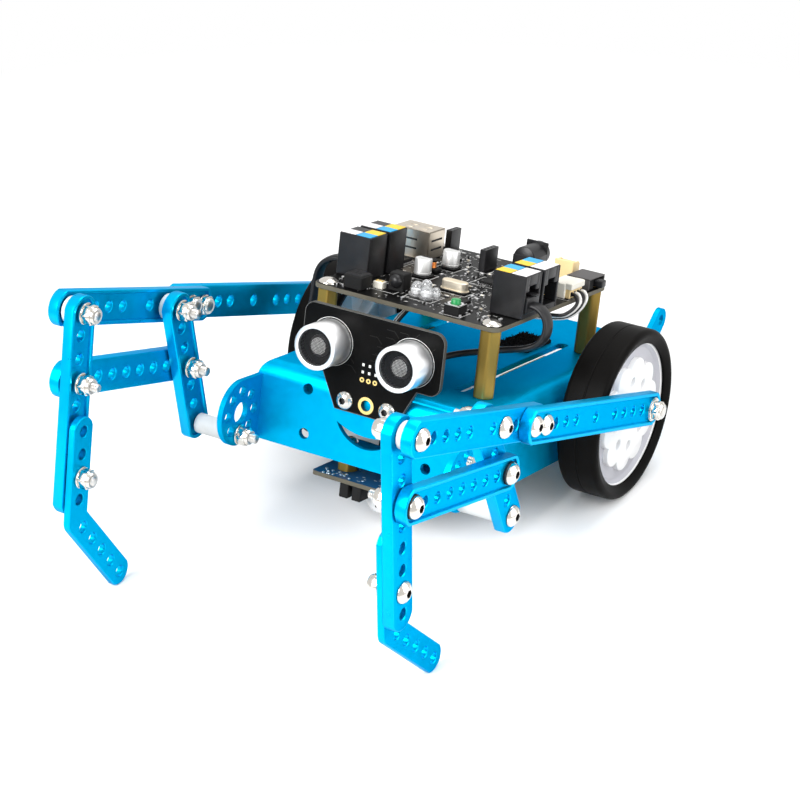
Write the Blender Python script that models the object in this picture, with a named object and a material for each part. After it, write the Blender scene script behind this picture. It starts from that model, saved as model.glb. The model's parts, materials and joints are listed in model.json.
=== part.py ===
"""A two-wheeled robot car with a pair of crank-driven walking legs, as separate pieces on real pivots.

Metres, +Z up. The robot faces -Y and stands on its wheels and its feet. Everything is first laid out in the
chassis frame: X across, Y to the rear, Z up from the leg's ground pivot. The whole frame is then tipped back
until the wheels and the feet stand on the floor.
"""

import math

import bmesh
import bpy
from mathutils import Matrix, Vector

# Beams: flat bars with a row of holes and a shallow groove in one face
HOLE_PITCH = 0.008
HOLE_RADIUS = 0.002
BEAM_WIDTH = 0.012
BEAM_THICK = 0.004
BEAM_END_SAG = 0.004
GROOVE_INSET = 0.0013
GROOVE_DEPTH = 0.001
HOLE_SIDES = 8
END_SIDES = 5
TURNED_SIDES = 12

# Linkage, counted in hole pitches along each beam
ROCKER_HOLES = 7
ROCKER_GROUND = 6
ROCKER_MID = 3
LEG_HOLES = 9
LEG_LOWER_PIVOT = 3
LOWER_HOLES = 9
LOWER_REAR_PIVOT = 8
FRONT_LINK_HOLES = (0, 1, 2, 3, 4, 6, 7, 8, 9, 10)
FRONT_LINK_ROCKER = 7
FRONT_LINK_SPLICE = 9
REAR_BEAM_HOLES = (0, 1, 2, 3, 4, 6, 8, 9, 10, 11, 12)
REAR_BEAM_CRANK = 12
CRANK_RADIUS = 0.0125
CRANK_ANGLES = {1: 143.2, -1: 88.0}

# Foot: a flat plate bent in its own plane
FOOT_WIDTH = 0.010
FOOT_THICK = 0.002
FOOT_END_SAG = 0.0036
FOOT_FIRST_HOLE = 5
FOOT_UPPER_HOLES = 4
FOOT_CORNER = 0.0715
FOOT_LOWER_FIRST = 0.0045
FOOT_LOWER_HOLES = 5
FOOT_BEND = math.radians(45)

# Chassis: one folded sheet
CHASSIS_WIDTH = 0.092
CHASSIS_FRONT = 0.012
CHASSIS_REAR = 0.148
CHASSIS_TOP = 0.026
CHASSIS_BOTTOM = -0.004
SHEET = 0.002
BEND_RADIUS = 0.007
BEND_SIDES = 5
EAR_RADIUS = 0.012
EAR_PCD_RADIUS = 0.008
EAR_CENTRE_HOLE = 0.004
FLANGE_WIDTH = 0.050
FLANGE_DEPTH = 0.0208
SLOT_X = 0.0235
SLOT_START = 0.034
SLOT_END = 0.114
SLOT_WIDTH = 0.004
FRONT_HOLE_X = 0.0248
FRONT_HOLE_HEIGHTS = (0.0025, 0.019)
CRESCENT_HALF = 0.012
CRESCENT_Z = 0.0105
CRESCENT_LOWER_SAG = 0.0075
CRESCENT_UPPER_SAG = 0.003
FINGER_WIDTH = 0.010
FINGER_BASE = (0.138, 0.020)
FINGER_TIP = (0.151, 0.034)

# Wheels and their gear motors
AXLE_Y = 0.093
WHEEL_RADIUS = 0.032
WHEEL_WIDTH = 0.016
WHEEL_GAP = 0.0033
RIM_RADIUS = 0.028
RIM_WALL = 0.0025
WEB_THICK = 0.0045
WEB_INSET = 0.0018
BOSS_RADIUS = 0.0065
BOSS_LENGTH = 0.0065
SHAFT_RADIUS = 0.0027
SHAFT_GRIP = 0.006
AXLE_CLEAR = 0.001
WHEEL_SIDES = 26
HUB_HOLES = 8
HUB_LOBES = 10
HUB_LOBE_RADIUS = 0.006
HUB_LOBE_PLACE = 0.0153
HUB_LOBE_TURN = math.radians(14)
HUB_LOBE_SIDES = 4
HUB_RISE = 0.002
TYRE_LIP_DEPTH = 0.0022
TYRE_LIP_RADIUS = 0.0266
TYRE_LIP_BEVEL = 0.0013
TYRE_FACE_RADIUS = 0.0296
MOTOR_HEIGHT = 0.0202
MOTOR_BOSS_RADIUS = 0.005
MOTOR_BOSS_LENGTH = 0.0045
MOTOR_WIDTH = 0.0185
MOTOR_BOX_LENGTH = 0.037
MOTOR_NOSE = 0.011
MOTOR_CAN_LENGTH = 0.026
MOTOR_CAN_RADIUS = 0.0088

# Pivot hardware
SPACER_LENGTH = 0.015
SPACER_RADIUS = 0.0036
RING_GAP = 0.0027
LOWER_GAP = 0.0005
RING_RADIUS = 0.0045
BOLT_RADIUS = 0.00165
LOOSE_BOLT_RADIUS = 0.0015
HEAD_RADIUS = 0.0038
HEAD_HEIGHT = 0.0022
NUT_APOTHEM = 0.0035
NUT_HEIGHT = 0.005
NUT_FLATS = 0.75
NUT_COLLAR = 0.8
BOLT_TAIL = 0.0025
FLUSH_TAIL = 0.0003

# Main board on its standoffs
BOARD_WIDTH = 0.075
BOARD_LENGTH = 0.088
BOARD_FRONT = 0.0285
BOARD_TOP = 0.0523
BOARD_THICK = 0.0016
BOARD_CORNER = 0.004
STANDOFF_INSET_X = 0.0045
STANDOFF_INSET_Y = 0.0045
STANDOFF_APOTHEM = 0.0035
SOCKET_DEPTH = 0.0130
SOCKET_WIDTH = 0.0122
SOCKET_HEIGHT = 0.0155
SOCKET_MOUTH_WIDTH = 0.0098
SOCKET_MOUTH_HEIGHT = 0.0072
SOCKET_MOUTH_DEPTH = 0.010
SOCKET_MOUTH_LOW = 0.0022
SOCKET_ROWS = (0.0516, 0.0658)
SOCKET_OVERHANG = 0.0005
USB_SIZE = (0.0155, 0.012, 0.0108)
USB_Y = 0.0945
USB_OVERHANG = 0.0025
JACK_SIZE = (0.009, 0.0135, 0.0105)
JACK_X = 0.0075
SWITCH_SIZE = (0.0095, 0.013, 0.0042)
SWITCH_Y = 0.108
SWITCH_LEVER = (0.006, 0.0035, 0.0026)
SWITCH_TRAVEL = 0.003
BUTTON_SIDE = 0.006
BUTTON_HEIGHT = 0.0036
BUTTON_X = 0.0175
BUTTON_Y = 0.0345
BUTTON_CAP_RADIUS = 0.0017
BUTTON_CAP_HEIGHT = 0.0016
BUTTON_BORE_DEPTH = 0.0012
BUTTON_BORE_RADIUS = 0.0021

# Distance sensor on the front face
SENSOR_WIDTH = 0.056
SENSOR_TOP = 0.0515
SENSOR_SHOULDER = 0.029
SENSOR_BOTTOM = 0.0155
SENSOR_FOOT_HALF = 0.0125
SENSOR_FOOT_SPREAD = 0.0067
SENSOR_THICK = 0.0016
SENSOR_CORNER = 0.004
SENSOR_HOLE_X = 0.0085
SENSOR_HOLE_Z = 0.0195
SENSOR_SOCKET_Z = 0.0358
EYE_X = 0.0162
EYE_Z = 0.039
EYE_RADIUS = 0.0081
EYE_LENGTH = 0.0112
EYE_RIM = 0.0013
EYE_DISH = 0.0035

# Line sensor and ball caster under the nose
LINE_WIDTH = 0.048
LINE_DEPTH = 0.024
LINE_FRONT = 0.0185
LINE_TOP = -0.0125
LINE_THICK = 0.0016
LINE_BLOCK = (0.0088, 0.0062, 0.0055)
LINE_BLOCK_X = 0.0075
LINE_POST_X = 0.015
LINE_POST_Y = 0.0285
LINE_SOCKET_Y = 0.0400
CASTER_RADIUS = 0.0095
CASTER_HEIGHT = 0.0105
CASTER_BALL = 0.0055
CASTER_SHOW = 0.0022
CASTER_Y = 0.0346

# Flat leads, drawn as round cords
CORD_RADIUS = 0.0017
CORD_POINTS = 20
SENSOR_LEAD_ROUTE = (
    (0.0300, 0.0516, 0.0570), (0.0360, 0.0516, 0.0570), (0.0420, 0.0516, 0.0562), (0.0452, 0.0516, 0.0520),
    (0.0448, 0.0510, 0.0462), (0.0400, 0.0500, 0.0420), (0.0300, 0.0460, 0.0395), (0.0200, 0.0350, 0.0380),
    (0.0150, 0.0238, 0.0366), (0.0110, 0.0180, 0.0359), (0.0020, 0.0177, 0.0358),
)
LINE_LEAD_ROUTE = (
    (-0.0300, 0.0516, 0.0570), (-0.0360, 0.0516, 0.0570), (-0.0430, 0.0516, 0.0560), (-0.0480, 0.0516, 0.0510),
    (-0.0492, 0.0513, 0.0400), (-0.0494, 0.0500, 0.0200), (-0.0492, 0.0490, 0.0020), (-0.0470, 0.0485, -0.0070),
    (-0.0400, 0.0485, -0.0098), (-0.0300, 0.0475, -0.0094), (-0.0190, 0.0430, -0.0074), (-0.0110, 0.0402, -0.0066),
    (-0.0020, 0.0400, -0.0065),
)

# Clearances
FIT = 0.0001
SEAT = 0.0003
RUNNING = 0.0003

# Planes and points that follow from the sizes above
SIDE_OUT = CHASSIS_WIDTH / 2
SIDE_IN = SIDE_OUT - SHEET
LAYER_1 = SIDE_OUT + SPACER_LENGTH + 2 * FIT
LAYER_2 = LAYER_1 + BEAM_THICK + RING_GAP
LAYER_3 = LAYER_2 + BEAM_THICK + FIT
LAYER_LOWER = LAYER_1 + BEAM_THICK + LOWER_GAP
WHEEL_IN = SIDE_OUT + WHEEL_GAP
WHEEL_OUT = WHEEL_IN + WHEEL_WIDTH
WEB_OUT = WHEEL_OUT - WEB_INSET
WEB_IN = WEB_OUT - WEB_THICK
BOARD_REAR = BOARD_FRONT + BOARD_LENGTH
BOARD_UNDER = BOARD_TOP - BOARD_THICK
SENSOR_BACK = CHASSIS_FRONT - SEAT
SENSOR_FACE = SENSOR_BACK - SENSOR_THICK
EAR_CENTRE = Vector((0.0, EAR_PCD_RADIUS))
GROUND_PIVOT = Vector((0.0, 0.0))
AXLE_Z = CHASSIS_TOP - SHEET - SEAT - MOTOR_HEIGHT / 2
AXLE = Vector((AXLE_Y, AXLE_Z))

MATERIALS = {
    "blue": ((0.0, 0.36, 0.78), 0.32, 0.75),
    "steel": ((0.75, 0.73, 0.70), 0.22, 1.0),
    "white": ((0.85, 0.86, 0.86), 0.45, 0.0),
    "rubber": ((0.025, 0.025, 0.026), 0.8, 0.0),
    "brass": ((0.62, 0.43, 0.16), 0.3, 1.0),
    "black": ((0.02, 0.02, 0.022), 0.5, 0.0),
    "board": ((0.03, 0.03, 0.032), 0.4, 0.0),
    "navy": ((0.01, 0.08, 0.18), 0.4, 0.0),
    "shell": ((0.6, 0.55, 0.47), 0.35, 1.0),
    "yellow": ((0.75, 0.5, 0.05), 0.5, 0.0),
    "green": ((0.0, 0.4, 0.12), 0.45, 0.0),
    "alloy": ((0.7, 0.7, 0.72), 0.3, 1.0),
}


def material(name):
    """The named Principled material, made the first time it is asked for."""
    found = bpy.data.materials.get(name)
    if found:
        return found
    colour, roughness, metallic = MATERIALS[name]
    made = bpy.data.materials.new(name)
    made.use_nodes = True
    shader = made.node_tree.nodes["Principled BSDF"]
    shader.inputs["Base Color"].default_value = (*colour, 1)
    shader.inputs["Roughness"].default_value = roughness
    shader.inputs["Metallic"].default_value = metallic
    return made


def empty(name, place, parent=None):
    """An empty on a joint's axis, which carries the pieces of one body."""
    made = bpy.data.objects.new(name, None)
    made.location = place
    made.parent = parent
    bpy.context.collection.objects.link(made)
    return made


def add(name, bm, colour, carrier, matrix=None):
    """The bmesh as a named object on its carrier, from a matrix in the chassis frame."""
    bmesh.ops.recalc_face_normals(bm, faces=bm.faces)
    mesh = bpy.data.meshes.new(name)
    bm.to_mesh(mesh)
    bm.free()
    mesh.materials.append(material(colour))
    made = bpy.data.objects.new(name, mesh)
    made.parent = carrier
    offset = carrier.location if carrier.parent else Vector((0, 0, 0))
    made.matrix_basis = Matrix.Translation(-offset) @ (matrix or Matrix())
    bpy.context.collection.objects.link(made)
    return made


def tool(name, bm, carrier, matrix=None):
    """A hidden helper for a Boolean."""
    made = add(name, bm, "black", carrier, matrix)
    made.hide_render = True
    made.display_type = "WIRE"
    return made


def combine(target, other, operation, solver="EXACT"):
    change = target.modifiers.new(other.name, "BOOLEAN")
    change.operation = operation
    change.object = other
    change.solver = solver


def facing(origin, along, out):
    """A matrix whose X runs along, whose Z points out and whose origin is the given point."""
    along = Vector(along).normalized()
    out = Vector(out).normalized()
    matrix = Matrix((along, out.cross(along), out)).transposed().to_4x4()
    matrix.translation = origin
    return matrix


def at(x, point):
    """A chassis-frame point from a distance across and a (Y, Z) pair."""
    return Vector((x, point[0], point[1]))


def arc(centre, radius, start, end, sides):
    """Points along an arc, both ends included."""
    return [
        (
            centre[0] + radius * math.cos(start + (end - start) * i / sides),
            centre[1] + radius * math.sin(start + (end - start) * i / sides),
        )
        for i in range(sides + 1)
    ]


def circle(centre, radius, sides, turn=0.0):
    return arc(centre, radius, turn, turn + math.tau, sides)[:-1]


def end_arc(half, sag):
    """The radius of a shallow arc across a bar's end, and how far inside the last hole its centre is."""
    radius = (half**2 + sag**2) / (2 * sag)
    return radius, radius - half


def bar_outline(length, width, sag, taken=0.0):
    """A bar's outline about (0, 0) and (length, 0) with curved ends, taken in evenly by a distance."""
    radius, back = end_arc(width / 2, sag)
    radius -= taken
    spread = math.asin(min(1.0, (width / 2 - taken) / radius))
    far = arc((length - back, 0), radius, -spread, spread, END_SIDES)
    near = arc((back, 0), radius, math.pi - spread, math.pi + spread, END_SIDES)
    return far + near


def rounded_box(width, depth, corner, centre=(0, 0), sides=4):
    """A rectangle's outline with round corners."""
    points = []
    for quarter, (sx, sy) in enumerate(((1, 1), (-1, 1), (-1, -1), (1, -1))):
        middle = (centre[0] + sx * (width / 2 - corner), centre[1] + sy * (depth / 2 - corner))
        start = quarter * math.pi / 2
        points += arc(middle, corner, start, start + math.pi / 2, sides)
    return points


def ring(bm, points, height):
    return [bm.verts.new((x, y, height)) for x, y in points]


def wall(bm, low, high):
    """Faces between two rings with the same number of points."""
    for i, vertex in enumerate(low):
        j = (i + 1) % len(low)
        bm.faces.new((vertex, low[j], high[j], high[i]))


def cap(bm, rings):
    """A flat face inside the first ring and outside the others."""
    edges = []
    for loop in rings:
        for i, vertex in enumerate(loop):
            other = loop[(i + 1) % len(loop)]
            edges.append(bm.edges.get((vertex, other)) or bm.edges.new((vertex, other)))
    bmesh.ops.triangle_fill(bm, use_beauty=True, use_dissolve=False, edges=edges)


def prism(bm, outline, low, high, holes=()):
    """A flat piece with through holes, between two heights."""
    loops = [outline, *holes]
    lower = [ring(bm, loop, low) for loop in loops]
    upper = [ring(bm, loop, high) for loop in loops]
    for below, above in zip(lower, upper):
        wall(bm, below, above)
    cap(bm, lower)
    cap(bm, upper)


def turned(bm, levels, sides):
    """A turned solid about Z, from (height, radius, hexagonal) levels, closed at both ends."""
    rings = []
    for height, radius, hexagonal in levels:
        loop = []
        for i in range(sides):
            angle = math.tau * i / sides
            reach = radius / math.cos((angle % (math.pi / 3)) - math.pi / 6) if hexagonal else radius
            loop.append((reach * math.cos(angle), reach * math.sin(angle)))
        rings.append(ring(bm, loop, height))
    for below, above in zip(rings, rings[1:]):
        wall(bm, below, above)
    cap(bm, rings[:1])
    cap(bm, rings[-1:])


def lathe_ring(bm, profile, sides):
    """A ring-shaped solid about Z from a closed (radius, height) profile."""
    loops = []
    for i in range(sides):
        angle = math.tau * i / sides
        loops.append([bm.verts.new((r * math.cos(angle), r * math.sin(angle), z)) for r, z in profile])
    for i, loop in enumerate(loops):
        wall(bm, loop, loops[(i + 1) % sides])


def box(bm, low, high):
    corners = [(low[0], low[1]), (high[0], low[1]), (high[0], high[1]), (low[0], high[1])]
    prism(bm, corners, low[2], high[2])


def meeting(first, first_reach, second, second_reach, upper):
    """The upper or lower point at both distances from two pivots."""
    line = second - first
    span = line.length
    along = (first_reach**2 - second_reach**2 + span**2) / (2 * span)
    off = math.sqrt(first_reach**2 - along**2)
    unit = line / span
    middle = first + along * unit
    choices = (middle + off * unit.orthogonal(), middle - off * unit.orthogonal())
    return max(choices, key=lambda p: p.y if upper else -p.y)


def pivots(side):
    """The (Y, Z) places of one leg's pivots, worked out from its crank's angle."""
    angle = math.radians(CRANK_ANGLES[side])
    crank = AXLE + CRANK_RADIUS * Vector((math.cos(angle), math.sin(angle)))
    rear_reach = (FRONT_LINK_SPLICE + REAR_BEAM_CRANK - FRONT_LINK_ROCKER) * HOLE_PITCH
    top = meeting(crank, rear_reach, GROUND_PIVOT, ROCKER_GROUND * HOLE_PITCH, True)
    forward = (top - crank).normalized()
    hip = top + FRONT_LINK_ROCKER * HOLE_PITCH * forward
    middle = top.lerp(GROUND_PIVOT, ROCKER_MID / ROCKER_GROUND)
    knee = meeting(hip, LEG_LOWER_PIVOT * HOLE_PITCH, middle, LOWER_REAR_PIVOT * HOLE_PITCH, False)
    return {"crank": crank, "top": top, "hip": hip, "middle": middle, "knee": knee, "forward": forward}


def foot_ends(side):
    """The (Y, Z) places of the foot's bend and of the centre of its curved end."""
    points = pivots(side)
    down = (points["knee"] - points["hip"]).normalized()
    rearward = Vector((-down.y, down.x))
    reach = FOOT_LOWER_FIRST + (FOOT_LOWER_HOLES - 1) * HOLE_PITCH - end_arc(FOOT_WIDTH / 2, FOOT_END_SAG)[1]
    heel = points["hip"] + FOOT_CORNER * down
    return heel, heel + reach * (math.cos(FOOT_BEND) * down + math.sin(FOOT_BEND) * rearward)


def floor_tilt():
    """The slope of the line under the wheels and the lower foot, in the chassis frame."""
    slopes = []
    sole = end_arc(FOOT_WIDTH / 2, FOOT_END_SAG)[0]
    for side in CRANK_ANGLES:
        line = AXLE - foot_ends(side)[1]
        drop = math.asin((WHEEL_RADIUS - sole) / line.length)
        slopes.append(math.atan2(line.y, line.x) - drop)
    return max(slopes)


def beam(name, places, groove_out, carrier, matrix, loose=()):
    """A grooved bar with holes at the given pitches along local X, its flat or grooved face outwards."""
    length = places[-1] * HOLE_PITCH
    holes = [
        circle((place * HOLE_PITCH, 0), HOLE_RADIUS + (RUNNING if place in loose else 0), HOLE_SIDES)
        for place in places
    ]
    flat, rim, floor = 0.0, BEAM_THICK, BEAM_THICK - GROOVE_DEPTH
    if not groove_out:
        flat, rim, floor = BEAM_THICK, 0.0, GROOVE_DEPTH
    bm = bmesh.new()
    outline = bar_outline(length, BEAM_WIDTH, BEAM_END_SAG)
    groove = bar_outline(length, BEAM_WIDTH, BEAM_END_SAG, GROOVE_INSET)
    flat_edge, rim_edge = ring(bm, outline, flat), ring(bm, outline, rim)
    rim_groove, floor_groove = ring(bm, groove, rim), ring(bm, groove, floor)
    flat_holes = [ring(bm, hole, flat) for hole in holes]
    floor_holes = [ring(bm, hole, floor) for hole in holes]
    wall(bm, flat_edge, rim_edge)
    wall(bm, rim_groove, floor_groove)
    for low, high in zip(flat_holes, floor_holes):
        wall(bm, low, high)
    cap(bm, [flat_edge, *flat_holes])
    cap(bm, [rim_edge, rim_groove])
    cap(bm, [floor_groove, *floor_holes])
    return add(name, bm, "blue", carrier, matrix)


def foot_plate(name, side, carrier, matrix):
    """The bent plate on the inside of the leg, with its lower arm swept to the rear."""
    half = FOOT_WIDTH / 2
    first = FOOT_FIRST_HOLE * HOLE_PITCH
    reach = FOOT_LOWER_FIRST + (FOOT_LOWER_HOLES - 1) * HOLE_PITCH
    turn = Vector((math.cos(FOOT_BEND), math.sin(FOOT_BEND)))
    corner = Vector((FOOT_CORNER, 0))
    miter = half * math.tan(FOOT_BEND / 2)
    radius, back = end_arc(half, FOOT_END_SAG)
    spread = math.asin(half / radius)
    tip = corner + (reach - back) * turn
    outline = [(FOOT_CORNER - miter, half)]
    outline += arc((first + back, 0), radius, math.pi - spread, math.pi + spread, END_SIDES)
    outline += arc((FOOT_CORNER, 0), half, -math.pi / 2, -math.pi / 2 + FOOT_BEND, END_SIDES // 2)
    outline += arc(tip, radius, FOOT_BEND - spread, FOOT_BEND + spread, END_SIDES)
    places = [Vector((first + i * HOLE_PITCH, 0)) for i in range(FOOT_UPPER_HOLES)]
    places += [corner + (FOOT_LOWER_FIRST + i * HOLE_PITCH) * turn for i in range(FOOT_LOWER_HOLES)]
    flip = [(x, side * y) for x, y in outline]
    holes = [circle((p.x, side * p.y), HOLE_RADIUS, HOLE_SIDES) for p in places]
    bm = bmesh.new()
    prism(bm, flip, -FOOT_THICK - FIT, -FIT, holes)
    return add(name, bm, "blue", carrier, matrix)


def nut_levels(start, direction, radius, tail=BOLT_TAIL):
    """A lock nut's levels from its seat outwards, with its rounded collar and the bolt's end."""
    seat = [(0, radius, False), (0, NUT_APOTHEM, True), (NUT_FLATS * NUT_HEIGHT, NUT_APOTHEM, True)]
    end = [
        (NUT_HEIGHT, NUT_COLLAR * NUT_APOTHEM, False),
        (NUT_HEIGHT, radius, False),
        (NUT_HEIGHT + tail, radius, False),
    ]
    return [(start + direction * height, reach, hexagonal) for height, reach, hexagonal in seat + end]


def head_levels(start):
    """A button head's levels from its seat outwards, ending in the flat round its socket."""
    dome = [(0.0, 1.0), (0.5, 0.9), (1.0, 0.5)]
    return [(start + HEAD_HEIGHT * h, HEAD_RADIUS * r, False) for h, r in dome]


def pivot_bolt(name, side, point, carrier, inner, outer, gap=0.0, radius=BOLT_RADIUS, tail=BOLT_TAIL):
    """A bolt across the layers: lock nut on the inside, button head on the outside, and its plain ring."""
    levels = nut_levels(inner - FIT, -1, radius, tail)[::-1]
    if gap:
        low, high = outer - BEAM_THICK - gap + FIT, outer - BEAM_THICK - FIT
        levels += [(low, radius, False), (low, RING_RADIUS, False)]
        levels += [(high, RING_RADIUS, False), (high, radius, False)]
    levels += [(outer + FIT, radius, False), *head_levels(outer + FIT)]
    bm = bmesh.new()
    turned(bm, levels, TURNED_SIDES)
    matrix = facing(at(0, point), (0, 1, 0), (side, 0, 0))
    return add(name, bm, "steel", carrier, matrix)


def leg_linkage(side, label, stand):
    """One side's rocker, links, leg and foot, at the places that its crank's angle gives."""
    points = pivots(side)
    out = (side, 0, 0)
    rocker = empty(f"{label}_rocker_axis", at(0, GROUND_PIVOT), stand)
    upper = empty(f"{label}_upper_axis", at(0, points["top"]), stand)
    leg = empty(f"{label}_leg_axis", at(0, points["hip"]), stand)
    lower = empty(f"{label}_lower_axis", at(0, points["middle"]), stand)
    layer = {1: side * LAYER_1, 2: side * LAYER_2, 3: side * LAYER_3, "lower": side * LAYER_LOWER}

    def bar(name, start, towards, level, places, groove_out, carrier, loose=()):
        along = at(0, towards) - at(0, start)
        matrix = facing(at(layer[level], start), along, out)
        return beam(f"{label}_{name}", places, groove_out, carrier, matrix, loose)

    bar("rocker", points["top"], GROUND_PIVOT, 1, range(ROCKER_HOLES), False, rocker)
    bar("front_link", points["hip"], points["top"], 2, FRONT_LINK_HOLES, False, upper)
    splice = points["hip"] - FRONT_LINK_SPLICE * HOLE_PITCH * points["forward"]
    bar("rear_beam", splice, points["crank"], 3, REAR_BEAM_HOLES, True, upper)
    bar("lower_link", points["knee"], points["middle"], "lower", range(LOWER_HOLES), True, lower, (0,))
    bar("leg", points["hip"], points["knee"], 1, range(LEG_HOLES), False, leg)
    down = at(0, points["knee"]) - at(0, points["hip"])
    foot_plate(f"{label}_foot", side, leg, facing(at(layer[1], points["hip"]), down, out))

    upper_face, lower_face = LAYER_2 + BEAM_THICK, LAYER_LOWER + BEAM_THICK
    pivot_bolt(f"{label}_top_bolt", side, points["top"], rocker, LAYER_1, upper_face, RING_GAP)
    pivot_bolt(f"{label}_middle_bolt", side, points["middle"], rocker, LAYER_1, lower_face, LOWER_GAP)
    pivot_bolt(f"{label}_hip_bolt", side, points["hip"], leg, LAYER_1, upper_face, RING_GAP, tail=FLUSH_TAIL)
    loose = LOOSE_BOLT_RADIUS
    pivot_bolt(f"{label}_knee_bolt", side, points["knee"], leg, LAYER_1, lower_face, LOWER_GAP, loose)
    pivot_bolt(f"{label}_ground_bolt", side, GROUND_PIVOT, stand, SIDE_IN, LAYER_1 + BEAM_THICK)
    bm = bmesh.new()
    bore = BOLT_RADIUS + 2 * FIT
    low, high = SIDE_OUT + FIT, LAYER_1 - FIT
    lathe_ring(bm, [(bore, low), (SPACER_RADIUS, low), (SPACER_RADIUS, high), (bore, high)], TURNED_SIDES)
    add(f"{label}_spacer", bm, "white", stand, facing(at(0, GROUND_PIVOT), (0, 1, 0), out))
    crank_pin(side, label, points["crank"], upper)


def crank_pin(side, label, point, carrier):
    """The crank bolt, carried by the rear beam and stopped short of the turning hub."""
    outer = LAYER_3 + BEAM_THICK + FIT
    levels = [(WEB_OUT + RUNNING, BOLT_RADIUS, False)]
    collar = LAYER_3 - FIT
    levels += [(collar - RING_GAP, BOLT_RADIUS, False), (collar - RING_GAP, RING_RADIUS, False)]
    levels += [(collar, RING_RADIUS, False), (collar, BOLT_RADIUS, False)]
    levels += nut_levels(outer, 1, BOLT_RADIUS, FLUSH_TAIL)
    bm = bmesh.new()
    turned(bm, levels, TURNED_SIDES)
    add(f"{label}_crank_pin", bm, "steel", carrier, facing(at(0, point), (0, 1, 0), (side, 0, 0)))


def lobed_disc():
    """The outline of the hub's raised face: a disc with a ring of round lobes."""
    step = math.tau / HUB_LOBES
    outline = []
    for i in range(HUB_LOBES * HUB_LOBE_SIDES):
        angle = step * i / HUB_LOBE_SIDES
        off = (angle + step / 2) % step - step / 2
        rise = math.sqrt(HUB_LOBE_RADIUS**2 - (HUB_LOBE_PLACE * math.sin(off)) ** 2)
        reach = HUB_LOBE_PLACE * math.cos(off) + rise
        outline.append((reach * math.cos(angle + HUB_LOBE_TURN), reach * math.sin(angle + HUB_LOBE_TURN)))
    return outline


def wheel(side, label, stand):
    """Hub, tyre and motor shaft, which turn together."""
    axis = empty(f"{label}_wheel_axis", at(0, AXLE), stand)
    matrix = facing(at(0, AXLE), (0, 1, 0), (side, 0, 0))
    inner_rim = RIM_RADIUS - RIM_WALL
    half = WHEEL_WIDTH / 2
    middle = (WHEEL_IN + WHEEL_OUT) / 2
    rim = half - TYRE_LIP_DEPTH - FIT
    rim_in, rim_out = middle - rim, middle + rim
    bore = SHAFT_RADIUS + FIT
    floor = WEB_OUT - HUB_RISE
    profile = [
        (bore, WEB_IN - BOSS_LENGTH), (BOSS_RADIUS, WEB_IN - BOSS_LENGTH), (BOSS_RADIUS, WEB_IN),
        (inner_rim, WEB_IN), (inner_rim, rim_in), (RIM_RADIUS, rim_in),
        (RIM_RADIUS, rim_out), (inner_rim, rim_out), (inner_rim, floor), (bore, floor),
    ]
    bm = bmesh.new()
    lathe_ring(bm, profile, WHEEL_SIDES)
    hub = add(f"{label}_hub", bm, "white", axis, matrix)
    bm = bmesh.new()
    prism(bm, lobed_disc(), floor - FIT, WEB_OUT, [circle((0, 0), bore, WHEEL_SIDES)])
    combine(hub, tool(f"{label}_hub_disc", bm, axis, matrix), "UNION")
    bm = bmesh.new()
    start = math.radians(CRANK_ANGLES[side]) * side
    for i in range(HUB_HOLES):
        angle = start + math.tau * i / HUB_HOLES
        centre = (CRANK_RADIUS * math.cos(angle), CRANK_RADIUS * math.sin(angle))
        prism(bm, circle(centre, HOLE_RADIUS, HOLE_SIDES), WEB_IN - SHEET, WEB_OUT + SHEET)
    combine(hub, tool(f"{label}_hub_holes", bm, axis, matrix), "DIFFERENCE")

    bead = RIM_RADIUS + FIT
    crown = half - RIM_WALL
    right = [
        (bead, half - TYRE_LIP_DEPTH), (TYRE_LIP_RADIUS, half - TYRE_LIP_DEPTH),
        (TYRE_LIP_RADIUS, half - TYRE_LIP_BEVEL), (TYRE_FACE_RADIUS, half), (WHEEL_RADIUS - RIM_WALL / 2, half),
        (WHEEL_RADIUS - RIM_WALL / 6, half - RIM_WALL / 3),
    ]
    profile = right + [(WHEEL_RADIUS, crown), (WHEEL_RADIUS, -crown)]
    profile += [(r, -z) for r, z in right[::-1]]
    bm = bmesh.new()
    lathe_ring(bm, [(r, middle + z) for r, z in profile], WHEEL_SIDES)
    add(f"{label}_tyre", bm, "rubber", axis, matrix)

    bm = bmesh.new()
    prism(bm, circle((0, 0), SHAFT_RADIUS, HOLE_SIDES), SIDE_IN - SHAFT_GRIP, WEB_OUT - FIT)
    add(f"{label}_shaft", bm, "white", axis, matrix)


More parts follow.
